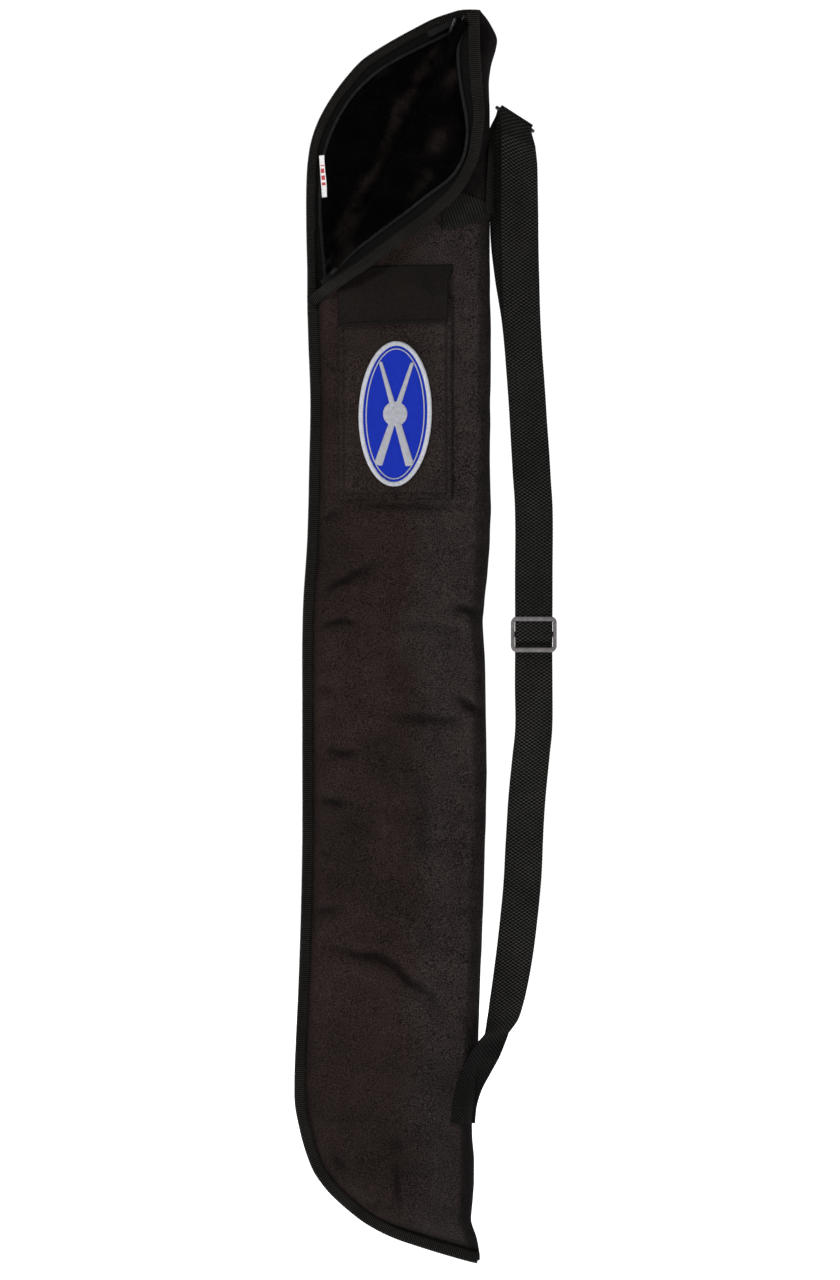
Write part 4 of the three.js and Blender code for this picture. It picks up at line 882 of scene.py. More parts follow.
start_shell = E + En * 1.6
top = flap_grid(start_shell, lambda x, z: edge_back(seg_dist(x, z, FLAP_L)), 30, 2, 144)
bot = flap_grid(start_shell, lambda x, z: edge_back(seg_dist(x, z, FLAP_L)) - 0.8, 30, 2, 144)
m = Mesh()
m.slab(top, bot, np.stack([top[..., 0], top[..., 2]], -1))
cs = m.make("corner_shell", M_SHELL)
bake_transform(cs)
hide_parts("flap_shell", "flap_padding")

# fold of the shell: from the front panel's cut edge round to the corner
NA = 120
aa = np.linspace(214, 6, NA)


def fold_rows(d, n_ang, aa=aa, tuck=0.0):
    """Roll of one layer at depth d from the outer surface: from inside the front panel round to the corner."""
    x0, z0 = to_xz(aa, CUT_S)
    yi = np.maximum(front_y(x0 + 0.5, z0, False), front_y(x0 + 0.5, z0, True)) + 0.1
    yo = flap_y(x0, 0 * x0, z0)
    yc, r0 = (yi + yo) / 2, np.maximum(0.5, (yi - yo) / 2)
    rows = []
    for ang in np.linspace(np.pi / 2, 1.5 * np.pi, n_ang):
        r = r0 + d
        s = CUT_S - 0.2 + r * np.cos(ang) * 1.0
        x, z = to_xz(aa, s)
        rows.append(np.stack([x, yc + r * np.sin(ang), z], -1))
    return np.stack(rows, 1)


fs0, fs1 = fold_rows(0.0, 9), fold_rows(0.8, 9)
m = Mesh()
m.slab(fs1, fs0)
fs = m.make("corner_fold_shell", M_SHELL)
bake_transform(fs)
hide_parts("fold_shell", "fold_padding")

# plush of the corner: from beside the coil to the fold and round it
i0, i1 = 9, 132
start_l = E + En * (rc + 1.5)[:, None]
NK = 34
k = np.linspace(0, 1, NK)


T_ZIP = np.array([-0.8974, -0.4412])


def slider_gap(x, z):
    """Distance, with the corner closed, to the line the slider and its pull lie on."""
    a_, s_ = to_a(x, z), (x - HA[0]) * N2[0] + (z - HA[1]) * N2[1]
    mx_, mz_ = to_xz(a_, -s_)
    return seg_dist(mx_, mz_, np.array([[46.1, 408.5], [46.1 + 62 * T_ZIP[0], 408.5 + 62 * T_ZIP[1]]]))


def lining_grid(d, surf):
    a_here = fa[i0:i1]
    fold = fold_rows(d, 10, aa=a_here)[:, ::-1]  # from the corner side round to inside the front panel
    end = fold[:, 0]
    G = np.zeros((i1 - i0, NK, 3))
    st = start_l[i0:i1]
    G[..., 0] = st[:, None, 0] * (1 - k) + end[:, None, 0] * k
    G[..., 2] = st[:, None, 1] * (1 - k) + end[:, None, 2] * k
    y = flap_y(G[..., 0], -d + 0 * G[..., 0], G[..., 2])
    edge = np.clip(k / 0.16, 0, 1)
    if surf:
        low = flap_y(G[..., 0], -3.1 + 0 * G[..., 0], G[..., 2])
        y = low + (y - low) * (0.2 + 0.8 * np.sqrt(edge))[None]
        bump = 0.65 * fbm(G[..., 0], G[..., 2], 15, 71, 3)
        y = y - 0.25 - bump * edge[None] * (1 - k[None] ** 6)
        y = low + (y - low) * (0.12 + 0.88 * smooth((slider_gap(G[..., 0], G[..., 2]) - 4.5) / 6))
    y = y + (end[:, None, 1] - y[:, -1:]) * (k[None] ** 6)
    G[..., 1] = y
    inside = np.stack([fold[:, -1] + np.array([(j + 1) * 2.2 * N2[0], 1.0 + 0.5 * j, (j + 1) * 2.2 * N2[1]]) for j in range(3)], 1)
    return np.concatenate([G, fold[:, 1:], inside], 1)


LG1, LG0 = lining_grid(5.6, True), lining_grid(3.0, False)
m = Mesh()
m.slab(LG1, LG0, arc_uv(LG1))
cl = m.make("corner_plush", M_PLUSH)
set_lit(cl, np.concatenate([lit(LG1[..., 0], LG1[..., 2]).ravel(), np.zeros(LG0[..., 0].size)]))
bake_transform(cl)
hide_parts("flap_lining", "fold_lining")
pts, nor = sample_grid(LG1[:, :NK + 8], 11000, 8, lambda a: (slider_gap(a[..., 0], a[..., 2]) > 8.5).astype(float))
nor[np.einsum("ij,ij->i", nor, pts - np.stack([pts[:, 0], pts[:, 1] * 0 - 17.6, pts[:, 2]], 1)) < 0] *= -1
swirl = 1.8 * fbm(pts[:, 0], pts[:, 2], 34, 81, 2)
comb = np.stack([-np.sin(swirl + 0.9), 0 * swirl, -np.cos(swirl + 0.9)], 1)
p = pile("corner_pile", pts, nor, comb, 3.4, 14, M_PILE)
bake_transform(p)

# ------------------------------------------------------------------ bindings
BIND_SEC = []  # (across from the edge, 0 back .. 1 front, outward normal across, outward normal y)


def binding_sec():
    """Closed section: outer half from the back's inner edge round the edge to the front's inner edge, then back inside."""
    o = []
    for e in (1.0, 0.97, 0.72, 0.45, 0.2):
        o.append(("b", e, 0.0, 0, 1))
    for ang in np.linspace(90, 270, 7):
        o.append(("c", 0, ang, 0, 0))
    for e in (0.2, 0.45, 0.72, 0.97, 1.0):
        o.append(("f", e, 0.0, 0, -1))
    return o


def binding(name, line, flip, width, yb, yf, ymap=None, rib=1.3, thick=0.85, body=None, stitch=True, wid_fn=None, flare=0.0):
    n = int(length(line) / rib * 4)
    P = resample(line, n)
    t = unit(np.gradient(resample(line, n), axis=0))
    # even out the direction so that ribs stay square to the edge
    ker = np.ones(25) / 25
    t = unit(np.stack([np.convolve(np.pad(t[:, c], 12, mode="edge"), ker, "valid") for c in range(2)], 1))
    nn = np.stack([-flip * t[:, 1], flip * t[:, 0]], 1)
    s = np.linspace(0, length(line), n)
    w = width + 0.22 * vnoise(s, 0, 17, 91) + 0.12 * vnoise(s, 0, 5, 92)
    if wid_fn is not None:
        w = w + wid_fn(P)
    rr = abs(yb - yf) / 2 if np.isscalar(yb) else None
    ribh = 0.17 * np.cos(2 * np.pi * s / rib)
    cols, uvs = [], []
    yc = (yb + yf) / 2
    R = 1.35
    v = 0
    out = []
    for kind, e, ang, _, ny in binding_sec():
        if kind in "bf":
            ee = e * w
            yy = yb if kind == "b" else yf
            crown = 0.16 * math.sin(math.pi * e) * (1 if kind == "b" else -1)
            dy = (ribh + 0) * (1 if kind == "b" else -1) * (0.4 if e > 0.98 else 1)
            out.append((ee, yy + crown + dy - (0.25 if (e > 0.98 and kind == "b") else (-0.25 if e > 0.98 else 0))))
        else:
            a = math.radians(ang)
            out.append((R + (R + ribh) * math.cos(a) * 1.0 + 0.0, yc + ((yb - yf) / 2 + ribh) * math.sin(a)))
    # inner return path, hidden between the layers
    inn = []
    for kind, e in (("f", 1.0), ("f", 0.5), ("f", 0.25), ("b", 0.25), ("b", 0.5), ("b", 1.0)):
        ee = e * w * (1 if e < 1 else 0.985)
        inn.append((ee, (yf + thick) if kind == "f" else (yb - thick)))
    sec = out + inn
    m_ = len(sec)
    G = np.zeros((n, m_, 3))
    arc = 0
    U = np.zeros((n, m_, 2))
    prev = None
    for j, (ee, yy) in enumerate(sec):
        ee, yy = ee + 0 * s, yy + 0 * s
        x, z = P[:, 0] + nn[:, 0] * ee, P[:, 1] + nn[:, 1] * ee
        G[:, j, 0], G[:, j, 2] = x, z
        G[:, j, 1] = yy if ymap is None else ymap(x, yy, z)
        if prev is not None:
            arc += math.hypot(float(ee.mean() - prev[0]), float(yy.mean() - prev[1]))
        prev = (float(ee.mean()), float(yy.mean()))
        U[:, j, 0], U[:, j, 1] = s, arc
    mesh = Mesh()
    mesh.tube(G, uv=U)
    ob = mesh.make(name, M_BIND)
    if stitch:
        st = Mesh()
        for face, yy, sgn in (("f", yf, -1.0), ("b", yb, 1.0)):
            q = resample(line, n // 4)
            wq = np.interp(np.linspace(0, 1, len(q)), np.linspace(0, 1, n), w)
            nq = np.stack([np.interp(np.linspace(0, 1, len(q)), np.linspace(0, 1, n), nn[:, c]) for c in range(2)], 1)
            x, z = q[:, 0] + nq[:, 0] * (wq - 1.5), q[:, 1] + nq[:, 1] * (wq - 1.5)
            y = yy + sgn * 0.22 + 0 * x
            if ymap is not None:
                y = ymap(x, y, z)
            C = np.stack([x, y, z], 1)
            N = np.zeros_like(C)
            N[:, 1] = sgn
            stitches(st, C, N, 2.6, 0.9, 0.26)
        so = st.make(name + "_stitching", M_THREAD)
    else:
        so = None
    return ob, so


widen = lambda P: 1.2 * smooth((244 - P[:, 1]) / 30) - 1.2
b1, s1 = binding("edge_binding_tape", np.vstack([SEWN_L[1:-1], [[54.2, -419.4]]]), 1, 7.8, 0.0, -4.5)
b2, s2 = binding("mouth_binding_tape", np.vstack([MOUTH_L[2:], SEWN_L[1:3]]), 1, 7.4, 0.05, -4.05, wid_fn=lambda P: widen(P) + 0.0)
for o in (b1, s1, b2, s2):
    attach(o, "case")
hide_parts("edge_binding")
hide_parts("mouth_binding_back")
b3, s3 = binding("corner_binding_tape", FE_SM[2:400], -1, 7.6, 0.0, -4.0, ymap=flap_y)
for o in (b3, s3):
    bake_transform(o)
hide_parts("mouth_binding_flap")

# ------------------------------------------------------------------ zipper halves
def tape_strip(name, P, nn, r, y0, y1, ymap=None):
    n = len(P)
    kk = np.linspace(0, 1, 8)
    ee = 1.8 + (r[:, None] + 1.6 - 1.8) * kk[None]
    x = P[:, None, 0] + nn[:, None, 0] * ee
    z = P[:, None, 1] + nn[:, None, 1] * ee
    s = np.linspace(0, length(P), n)
    T, B = [], []
    for yy, L in ((y0, T), (y1, B)):
        y = yy + 0 * x + 0.08 * vnoise(s[:, None] + 0 * ee, ee, 9, 95)
        L.append(np.stack([x, y if ymap is None else ymap(x, y, z), z], -1))
    mesh = Mesh()
    mesh.slab(T[0], B[0], np.stack([s[:, None] + 0 * ee, ee], -1))
    ob = mesh.make(name, M_ZTAPE)
    return ob


def coil(name, line, y0, ymap=None, pitch=1.28, ra=0.95, rb=0.72, wire=0.34):
    """The sewn spiral of a nylon coil zipper, with its cord and the two rows of thread that hold it."""
    L = length(line)
    n = int(L / pitch * 9)
    P = resample(line, n)
    t = unit(np.gradient(P, axis=0))
    ker = np.ones(31) / 31
    t = unit(np.stack([np.convolve(np.pad(t[:, c], 15, mode="edge"), ker, "valid") for c in range(2)], 1))
    nn = np.stack([-t[:, 1], t[:, 0]], 1)
    s = np.linspace(0, L, n)
    ph = 2 * np.pi * s / pitch
    off, up = ra * np.cos(ph), rb * np.sin(ph)
    x, z = P[:, 0] + nn[:, 0] * off, P[:, 1] + nn[:, 1] * off
    y = y0 - 0.9 - up
    C = np.stack([x, y if ymap is None else ymap(x, y, z), z], -1)
    T = tangents(C)
    ref = np.stack([nn[:, 0], 0 * s, nn[:, 1]], 1)
    A = unit(np.cross(T, np.cross(ref, T) + 1e-6))
    B = np.cross(T, A)
    ang = np.arange(5) * 2 * np.pi / 5
    G = C[:, None] + wire * (A[:, None] * np.cos(ang)[None, :, None] + B[:, None] * np.sin(ang)[None, :, None])
    mesh = Mesh()
    mesh.tube(G)
    n2 = int(L / 1.5)
    P2 = resample(line, n2)
    t2 = unit(np.gradient(P2, axis=0))
    nn2 = np.stack([-t2[:, 1], t2[:, 0]], 1)
    ang = np.arange(6) * np.pi / 3
    for off, rad, dy in ((0.0, 0.42, -0.9), (-0.55, 0.2, -1.75), (0.55, 0.2, -1.75)):
        x, z = P2[:, 0] + nn2[:, 0] * off, P2[:, 1] + nn2[:, 1] * off
        y = y0 + dy + 0 * x
        y = y if ymap is None else ymap(x, y, z)
        C2 = np.stack([x, y, z], -1)
        A2 = np.stack([nn2[:, 0], 0 * x, nn2[:, 1]], 1)
        B2 = np.tile([0.0, 1.0, 0.0], (n2, 1))
        mesh.tube(C2[:, None] + rad * (A2[:, None] * np.cos(ang)[None, :, None] + B2[:, None] * np.sin(ang)[None, :, None]))
    ob = mesh.make(name, M_COIL)
    return ob


o = tape_strip("corner_zipper_tape", E[3:142], En[3:142], rc[3:142], -2.3, -2.8, flap_y)
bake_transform(o)
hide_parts("zipper_tape_flap")
coil_pts = (E + En * rc[:, None])[6:137]
o = coil("corner_zipper_coil", coil_pts, -2.9, flap_y)
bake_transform(o)
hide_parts("zipper_coil_flap")

MP, Mt = path_frames(MOUTH_L, 130)
Mn = normals_in(MP, Mt, 1)
BC_SM = np.vstack([resample(np.array(BACK_COIL[:2], float), 20), spline(BACK_COIL[1:], 160)[1:]])
rb = np.zeros(130)
for i in range(130):
    rel = BC_SM - MP[i]
    along, off = rel @ Mn[i], np.abs(rel @ Mt[i])
    rb[i] = along[np.argmin(off)]
rb = np.clip(np.convolve(np.pad(rb, 3, mode="edge"), np.ones(7) / 7, "valid"), 8.5, 14)
o = tape_strip("mouth_zipper_tape", MP[7:], Mn[7:], rb[7:], -2.3, -2.8)
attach(o, "case")
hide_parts("zipper_tape_back")
o = coil("mouth_zipper_coil", BC_SM, -2.9)
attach(o, "case")
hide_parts("zipper_coil_back")

# ------------------------------------------------------------------ pocket
PK = dict(x0=-38.6, x1=37.6, z0=91.0, z1=226.0)
nx, nz = 60, 96
tx = np.linspace(0, 1, nx)
tz = np.linspace(0, 1, nz)
X = PK["x0"] + (PK["x1"] - PK["x0"]) * tx[:, None] + 0 * tz[None]
Z = PK["z0"] + (PK["z1"] - PK["z0"]) * tz[None] + 0 * tx[:, None]
X = X + 0.35 * vnoise(Z, 0 * Z, 22, 101) * (np.abs(tx[:, None] - 0.5) * 2) ** 4
Z = Z + (0.5 * vnoise(X, 0 * X, 26, 102) + 0.9 * np.sin(np.pi * tx[:, None]) - 0.4) * (1 - tz[None]) ** 6


def pocket_y(x, z, raised=0.0):
    base = front_y(x, z, True)
    base = np.where(x > -36, np.minimum(base, front_y(x, z, False) + 0.15), base)
    dl, dr, db = x - PK["x0"], PK["x1"] - x, z - PK["z0"]
    d = np.minimum(np.minimum(dl, dr), db)
    bulge = 0.85 * smooth(dl / 9) * smooth(dr / 9) * smooth(db / 9)
    hem = 0.55 * (1 - smooth((d - 3.4) / 1.0))
    groove = -0.35 * np.exp(-((d - 3.9) / 0.7) ** 2)
    puck = 0.16 * np.sin(z * 2 * np.pi / 8.5 + 3 * vnoise(z, x, 20, 104)) * np.exp(-((np.minimum(dl, dr) - 6) / 5) ** 2)
    wr = 0.28 * fbm(x, z, 34, 103, 2) * smooth(d / 10)
    return np.minimum(base, -4) - 0.45 - bulge - hem - groove - puck - wr - raised


top = np.stack([X, pocket_y(X, Z, 0.7), Z], -1)
bot = np.stack([X, pocket_y(X, Z, 0.0), Z], -1)
bot[..., 1] = np.minimum(bot[..., 1] + 0.15, front_y(X, Z, True) - 0.05)
m = Mesh()
m.slab(top, bot, np.stack([X, Z], -1))
pocket = m.make("pocket_patch", M_POCKET)
d_ = np.minimum(np.minimum(X - PK["x0"], PK["x1"] - X), Z - PK["z0"])
# Painted shade kept in the 'fold' attribute: in the seam groove and along the pocket's edges, with random darker
# patches.
painted_shade = 0.55 * np.exp(-((d_ - 3.9) / 0.9) ** 2) + 0.7 * (1 - smooth(d_ / 1.0)) + 0.3 * np.clip(fbm(X, Z, 34, 163, 2), 0, 1)
set_painted_shade(pocket, np.tile(painted_shade.ravel(), 2))
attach(pocket, "case")
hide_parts("pocket_panel")
st = Mesh()


def surf_line(xs, zs, f, off=0.0):
    return np.stack([xs, f(xs, zs) - off, zs], 1)


zq = np.linspace(92.5, 225, 90)
for xq in (PK["x0"] + 1.6, PK["x1"] - 1.3, PK["x1"] - 4.4):
    C = surf_line(xq + 0 * zq, zq, lambda a, b: pocket_y(a, b, 0.7))
    N = np.tile([0, -1.0, 0], (len(C), 1))
    stitches(st, C, N, 2.5, 0.9, 0.25)
xq = np.linspace(PK["x0"] + 1.6, PK["x1"] - 1.3, 60)
C = surf_line(xq, PK["z0"] + 1.7 + 0 * xq, lambda a, b: pocket_y(a, b, 0.7))
stitches(st, C, np.tile([0, -1.0, 0], (len(C), 1)), 2.5, 0.9, 0.25)
o = st.make("pocket_stitching", M_THREAD)
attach(o, "case")

# pocket cover: band under the folded corner (sewn), then the loose flap
nx, nz = 56, 44
CX0, CX1 = -38.2, 36.4
tx = np.linspace(0, 1, nx)


def cover_point(u, v):
    """u across 0..1, v 0 top .. 1 bottom."""
    ztop = 246.0 + 2.2 * u
    zlow = 205.6 + 3.2 * u + 0.9 * np.sin(np.pi * u) * 0.6
    corner = np.clip((u - 0.86) / 0.14, 0, 1)
    zlow = zlow + 5.5 * (1 - np.sqrt(np.clip(1 - corner ** 2, 0, 1)))
    z = ztop + (zlow - ztop) * v
    xl, xr = -38.6 + 1.4 * smooth((z - 226) / 12), 34.7 + 0.4 * smooth((z - 215) / 15) + 3.2 * smooth((z - 236) / 10)
    x = xl + (xr - xl) * u
    return x, z


U, Vv = np.meshgrid(tx, np.linspace(0, 1, nz), indexing="ij")
X, Z = cover_point(U, Vv)
POCKET_FRONT = 18.85


def cover_y(x, z):
    base = -17.35 - 3.2 * smooth((246 - z) / 20)
    pinch = front_y(x, z, False)
    y = np.where(x < -26, np.maximum(base, base + (pinch + 17) * 0.98), base)
    y = y - 0.5 * np.exp(-(((x - 22) / 11) ** 2 + ((z - 236) / 7) ** 2)) + 0.55 * np.exp(-(((x - 18) / 9) ** 2 + ((z - 226) / 6) ** 2))
    y = y - 0.35 * fbm(x, z, 24, 111, 2)
    zl = 205.6 + 3.2 * (x + 38.6) / 73
    d = np.minimum(np.minimum(x + 38.6, 34.9 - x), z - zl)
    y = y - 0.35 * (1 - smooth((d - 2.6) / 0.9)) * (z < 244) + 0.22 * np.exp(-((d - 3.2) / 0.6) ** 2) * (z < 244)
    y = y - 0.5 * smooth((214 - z) / 8)
    return y - 0.2


top = np.stack([X, cover_y(X, Z) - 0.55, Z], -1)
bot = np.stack([X, cover_y(X, Z), Z], -1)
m = Mesh()
m.slab(top, bot, np.stack([X, Z], -1))
cover = m.make("pocket_cover_flap", M_COVER)
zl_ = 205.6 + 3.2 * (X + 38.6) / 73
d_ = np.minimum(np.minimum(X + 38.6, 34.9 - X), Z - zl_)
# Painted shade kept in the 'fold' attribute: along the seam and the edges, in a crease near x 22, z 233, and over the
# top, where the corner's band lies over it.
painted_shade = 0.5 * np.exp(-((d_ - 3.2) / 0.8) ** 2) + 0.75 * (1 - smooth(d_ / 0.8)) + 0.7 * np.exp(-(((X - 22 + 0.5 * (Z - 232)) / 5) ** 2 + ((Z - 233) / 9) ** 2)) + 0.5 * smooth((Z - 238) / 8)
set_painted_shade(cover, np.tile(painted_shade.ravel(), 2))
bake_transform(cover)
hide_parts("pocket_flap", "pocket_flap_seam")
st = Mesh()
for path in ("side", "low"):
    if path == "side":
        for uu, xo in ((0.0, 1.7), (1.0, -1.7)):
            vv = np.linspace(0.02, 0.93 if uu > 0.5 else 0.96, 40)
            x, z = cover_point(uu + 0 * vv, vv)
            x = x + xo
            C = np.stack([x, cover_y(x, z) - 0.55, z], 1)
            stitches(st, C, np.tile([0, -1.0, 0], (len(C), 1)), 2.4, 0.9, 0.24)
    else:
        uu = np.linspace(0.02, 0.96, 60)
        x, z = cover_point(uu, 1 + 0 * uu)
        z = z + 1.7
        C = np.stack([x, cover_y(x, z) - 0.55, z], 1)
        stitches(st, C, np.tile([0, -1.0, 0], (len(C), 1)), 2.4, 0.9, 0.24)
o = st.make("pocket_cover_stitching", M_THREAD)
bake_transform(o)

# ------------------------------------------------------------------ badge
BD = dict(x=-0.5, z=148.4, rx=24.2, rz=48.2, tilt=math.radians(1.4), y=19.15)


def badge_place(a, b, d):
    c, s = math.cos(BD["tilt"]), math.sin(BD["tilt"])
    return np.stack([BD["x"] + a * c + b * s, -(BD["y"] + d), BD["z"] - a * s + b * c], -1)


def blue():
    k = MB("badge_twill_blue", 0.55, 0.1)
    x, y, z = k.xyz(k.obj())
    diag = k.op("ADD", x, k.op("MULTIPLY", z, 1.0))
    tw = k.wave(diag, 0.00105)
    thr = k.wave(k.op("SUBTRACT", x, z), 0.00048)
    n = k.noise(k.obj(), 900, 3, 0.6)
    f = k.op("ADD", k.op("MULTIPLY", tw, 0.45), k.op("MULTIPLY", n, 0.45))
    f = k.op("ADD", f, k.op("MULTIPLY", thr, 0.12))
    k.color(k.ramp(f, [(0.25, (0.0015, 0.008, 0.17)), (0.80, (0.011, 0.045, 0.62))]))
    k.normal(k.bump(tw, 0.00018, 0.9, k.bump(thr, 0.00006, 0.6)))
    return k.m


def silver(name, dark, light):
    k = MB(name, 0.42, 0.35)
    u, v, _ = k.xyz(k.uv())
    thr = k.wave(u, 0.00055)
    n = k.noise(k.scale(k.uv(), (1600, 300, 1)), 1.0, 3, 0.6)
    k.color(k.ramp(k.op("ADD", k.op("MULTIPLY", thr, 0.5), k.op("MULTIPLY", n, 0.5)), [(0.2, dark), (0.8, light)]))
    k.rough(k.op("MULTIPLY_ADD", n, 0.3, 0.25))
    k.normal(k.bump(thr, 0.00014, 0.8))
    return k.m


M_BLUE = blue()
M_SILVER = silver("badge_satin_silver", (0.20, 0.205, 0.235), (0.60, 0.61, 0.66))
M_MERROW = silver("badge_border_thread", (0.30, 0.31, 0.35), (0.78, 0.79, 0.84))

rr = np.linspace(0.0, 1, 26) ** 0.8
th = np.arange(120) * 2 * np.pi / 120
A = (BD["rx"] - 1.6) * rr[:, None] * np.cos(th)
B = (BD["rz"] - 1.6) * rr[:, None] * np.sin(th)
dome = 0.95 + 0.25 * np.sqrt(np.clip(1 - rr[:, None] ** 2, 0, 1)) + 0.07 * np.cos(2 * np.pi * (A + B) / 2.1)
A2, B2 = A[1:], B[1:]
topg = badge_place(A2, B2, dome[1:])
botg = badge_place(A2[-1:], B2[-1:], np.zeros_like(A2[-1:]))
G = np.concatenate([topg, botg], 0)
m = Mesh()
F = grid_faces(G.shape[0], 120, wrap_v=True)
V = np.vstack([G.reshape(-1, 3), badge_place(np.array([0.0]), np.array([0.0]), np.array([dome[0, 0]]))])
ctr = len(V) - 1
extra = [[ctr, i, (i + 1) % 120] for i in range(120)] + [[(G.shape[0] - 1) * 120 + i for i in range(120)]]
a_, b_, c_ = V[extra[0]]
if np.cross(b_ - a_, c_ - a_)[1] > 0:
    extra = [f[::-1] for f in extra[:120]] + [extra[120]]
a_, b_, c_ = V[F[0][:3]]
if np.cross(b_ - a_, c_ - a_)[1] > 0:
    F = F[:, ::-1]
m.add(V, F, np.stack([V[:, 0], V[:, 2]], 1), extra)
o = m.make("badge_twill", M_BLUE)
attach(o, "case")
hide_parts("badge_field")

# overlocked border: threads wrapped round the edge, slightly slanted
perim = 243.0
nth = 400
ns = nth * 4
t = np.arange(ns) * 2 * np.pi / ns
m_sec = 10
ph = np.arange(m_sec) * 2 * np.pi / m_sec
cxr, czr = BD["rx"] - 1.35, BD["rz"] - 1.35
nx_, nz_ = np.cos(t) * czr, np.sin(t) * cxr
ln = np.hypot(nx_, nz_)
nx_, nz_ = nx_ / ln, nz_ / ln
skew = 0.5 * np.sin(ph)
ridge = 0.16 * np.cos(nth * t[:, None] + skew[None] * 2.2)
w_, h_ = 1.55 + ridge, 0.98 + ridge * 0.8
a = cxr * np.cos(t)[:, None] + nx_[:, None] * w_ * np.cos(ph)[None]
b = czr * np.sin(t)[:, None] + nz_[:, None] * w_ * np.cos(ph)[None]
d = 0.95 + h_ * np.sin(ph)[None]
G = badge_place(a, b, d)
m = Mesh()
uv = np.stack([np.broadcast_to((t * perim / (2 * np.pi))[:, None], a.shape), np.broadcast_to((ph * 1.3)[None], a.shape)], -1)
m.tube(G, closed=True, uv=uv)
o = m.make("badge_border_overlock", M_MERROW)
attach(o, "case")
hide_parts("badge_border")


def satin(mesh, ang, l, w0, w1, base, height, pitch=0.62):
    """Satin-stitched bar: threads across it, a rounded top."""
    n = int(2 * l / pitch * 4)
    q = np.linspace(-l, l, n)
    hw = w0 + (w1 - w0) * (q + l) / (2 * l)
    cap = np.sqrt(np.clip(1 - ((np.abs(q) - (l - 1.0)) / 1.0).clip(0, 1) ** 2, 0.02, 1))
    hw = hw * cap
    rid = 0.11 * np.cos(2 * np.pi * q / pitch)
    ph = np.linspace(0, np.pi, 9)
    P = []
    U = []
    c, s = math.cos(ang), math.sin(ang)
    for f in ph:
        xx_, hh = -np.cos(f) * (hw + rid), base + (height * cap + rid) * np.sin(f) ** 0.7
        P.append((xx_, q, hh))
        U.append((q, xx_))
    P.append((hw * 0.9, q, base * 0 + base - 0.3 + 0 * q))
    U.append((q, hw))
    P.append((-hw * 0.9, q, base * 0 + base - 0.3 + 0 * q))
    U.append((q, -hw))
    A_ = np.stack([p_[0] + 0 * q for p_ in P], 1)
    B_ = np.stack([p_[1] + 0 * q for p_ in P], 1)
    H_ = np.stack([p_[2] + 0 * q for p_ in P], 1)
    G = badge_place(A_ * c - B_ * s, A_ * s + B_ * c, H_)
    uv = np.stack([np.stack([u_[0] + 0 * q for u_ in U], 1), np.stack([u_[1] + 0 * q for u_ in U], 1)], -1)
    mesh.tube(G, uv=uv)


m = Mesh()
for sg in (1, -1):
    satin(m, 0.3 * sg, 36, 2.9, 1.15, 1.05 + (0.18 if sg > 0 else 0), 0.62)
# ball: rows of thread
n = 120
q = np.linspace(-8.2, 8.2, n)
hw = np.sqrt(np.clip(8.2 ** 2 - q ** 2, 0.05, None))
rid = 0.11 * np.cos(2 * np.pi * q / 0.62)
ph = np.linspace(0, np.pi, 13)
A_ = np.stack([-np.cos(f) * hw for f in ph] + [hw * 0.9, -hw * 0.9], 1)
B_ = np.repeat(q[:, None], 15, 1)
H_ = np.stack([1.1 + (0.85 * np.sqrt(hw / 8.2) + rid) * np.sin(f) ** 0.45 for f in ph] + [0.8 + 0 * q] * 2, 1)
m.tube(badge_place(A_, B_, H_), uv=np.stack([B_, A_], -1))
# slim ring inside the border, generic
ns = 520
t = np.arange(ns) * 2 * np.pi / ns
ph = np.arange(8) * 2 * np.pi / 8
ex, ez = BD["rx"] - 4.9, BD["rz"] - 4.9
nx_, nz_ = np.cos(t) * ez, np.sin(t) * ex
ln = np.hypot(nx_, nz_)
rid = 0.05 * np.cos(130 * 2 * t)[:, None]
a = ex * np.cos(t)[:, None] + (nx_ / ln)[:, None] * (0.42 + rid) * np.cos(ph)
b = ez * np.sin(t)[:, None] + (nz_ / ln)[:, None] * (0.42 + rid) * np.cos(ph)
d = 1.15 + (0.3 + rid) * np.sin(ph)[None] + 0 * a
m.tube(badge_place(a, b, d), closed=True, uv=np.stack([np.broadcast_to((t * 33)[:, None], a.shape), 0 * a], -1))
o = m.make("badge_emblem_satin", M_SILVER)
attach(o, "case")
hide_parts("badge_emblem")

# ------------------------------------------------------------------ label at the mouth edge
def label_mat():
    k = MB("label_satin", 0.45, 0.35, sheen=0.1)
    u, v, _ = k.xyz(k.uv())
    n = k.noise(k.scale(k.uv(), (2500, 500, 1)), 1.0, 3, 0.6)
    bar = k.op("MULTIPLY", k.op("GREATER_THAN", k.wave(u, 0.0046), 0.28), k.op("MULTIPLY", k.op("GREATER_THAN", u, 0.0065), k.op("LESS_THAN", u, 0.0200)))
    bar = k.op("MULTIPLY", bar, k.op("MULTIPLY", k.op("GREATER_THAN", v, 0.0006), k.op("LESS_THAN", v, 0.0031)))
    base = k.ramp(n, [(0.2, (0.62, 0.60, 0.60)), (0.8, (0.88, 0.87, 0.87))])
    k.color(k.mix(bar, base, (0.45, 0.035, 0.045)))
    k.normal(k.bump(n, 0.00006, 0.6))
    return k.m


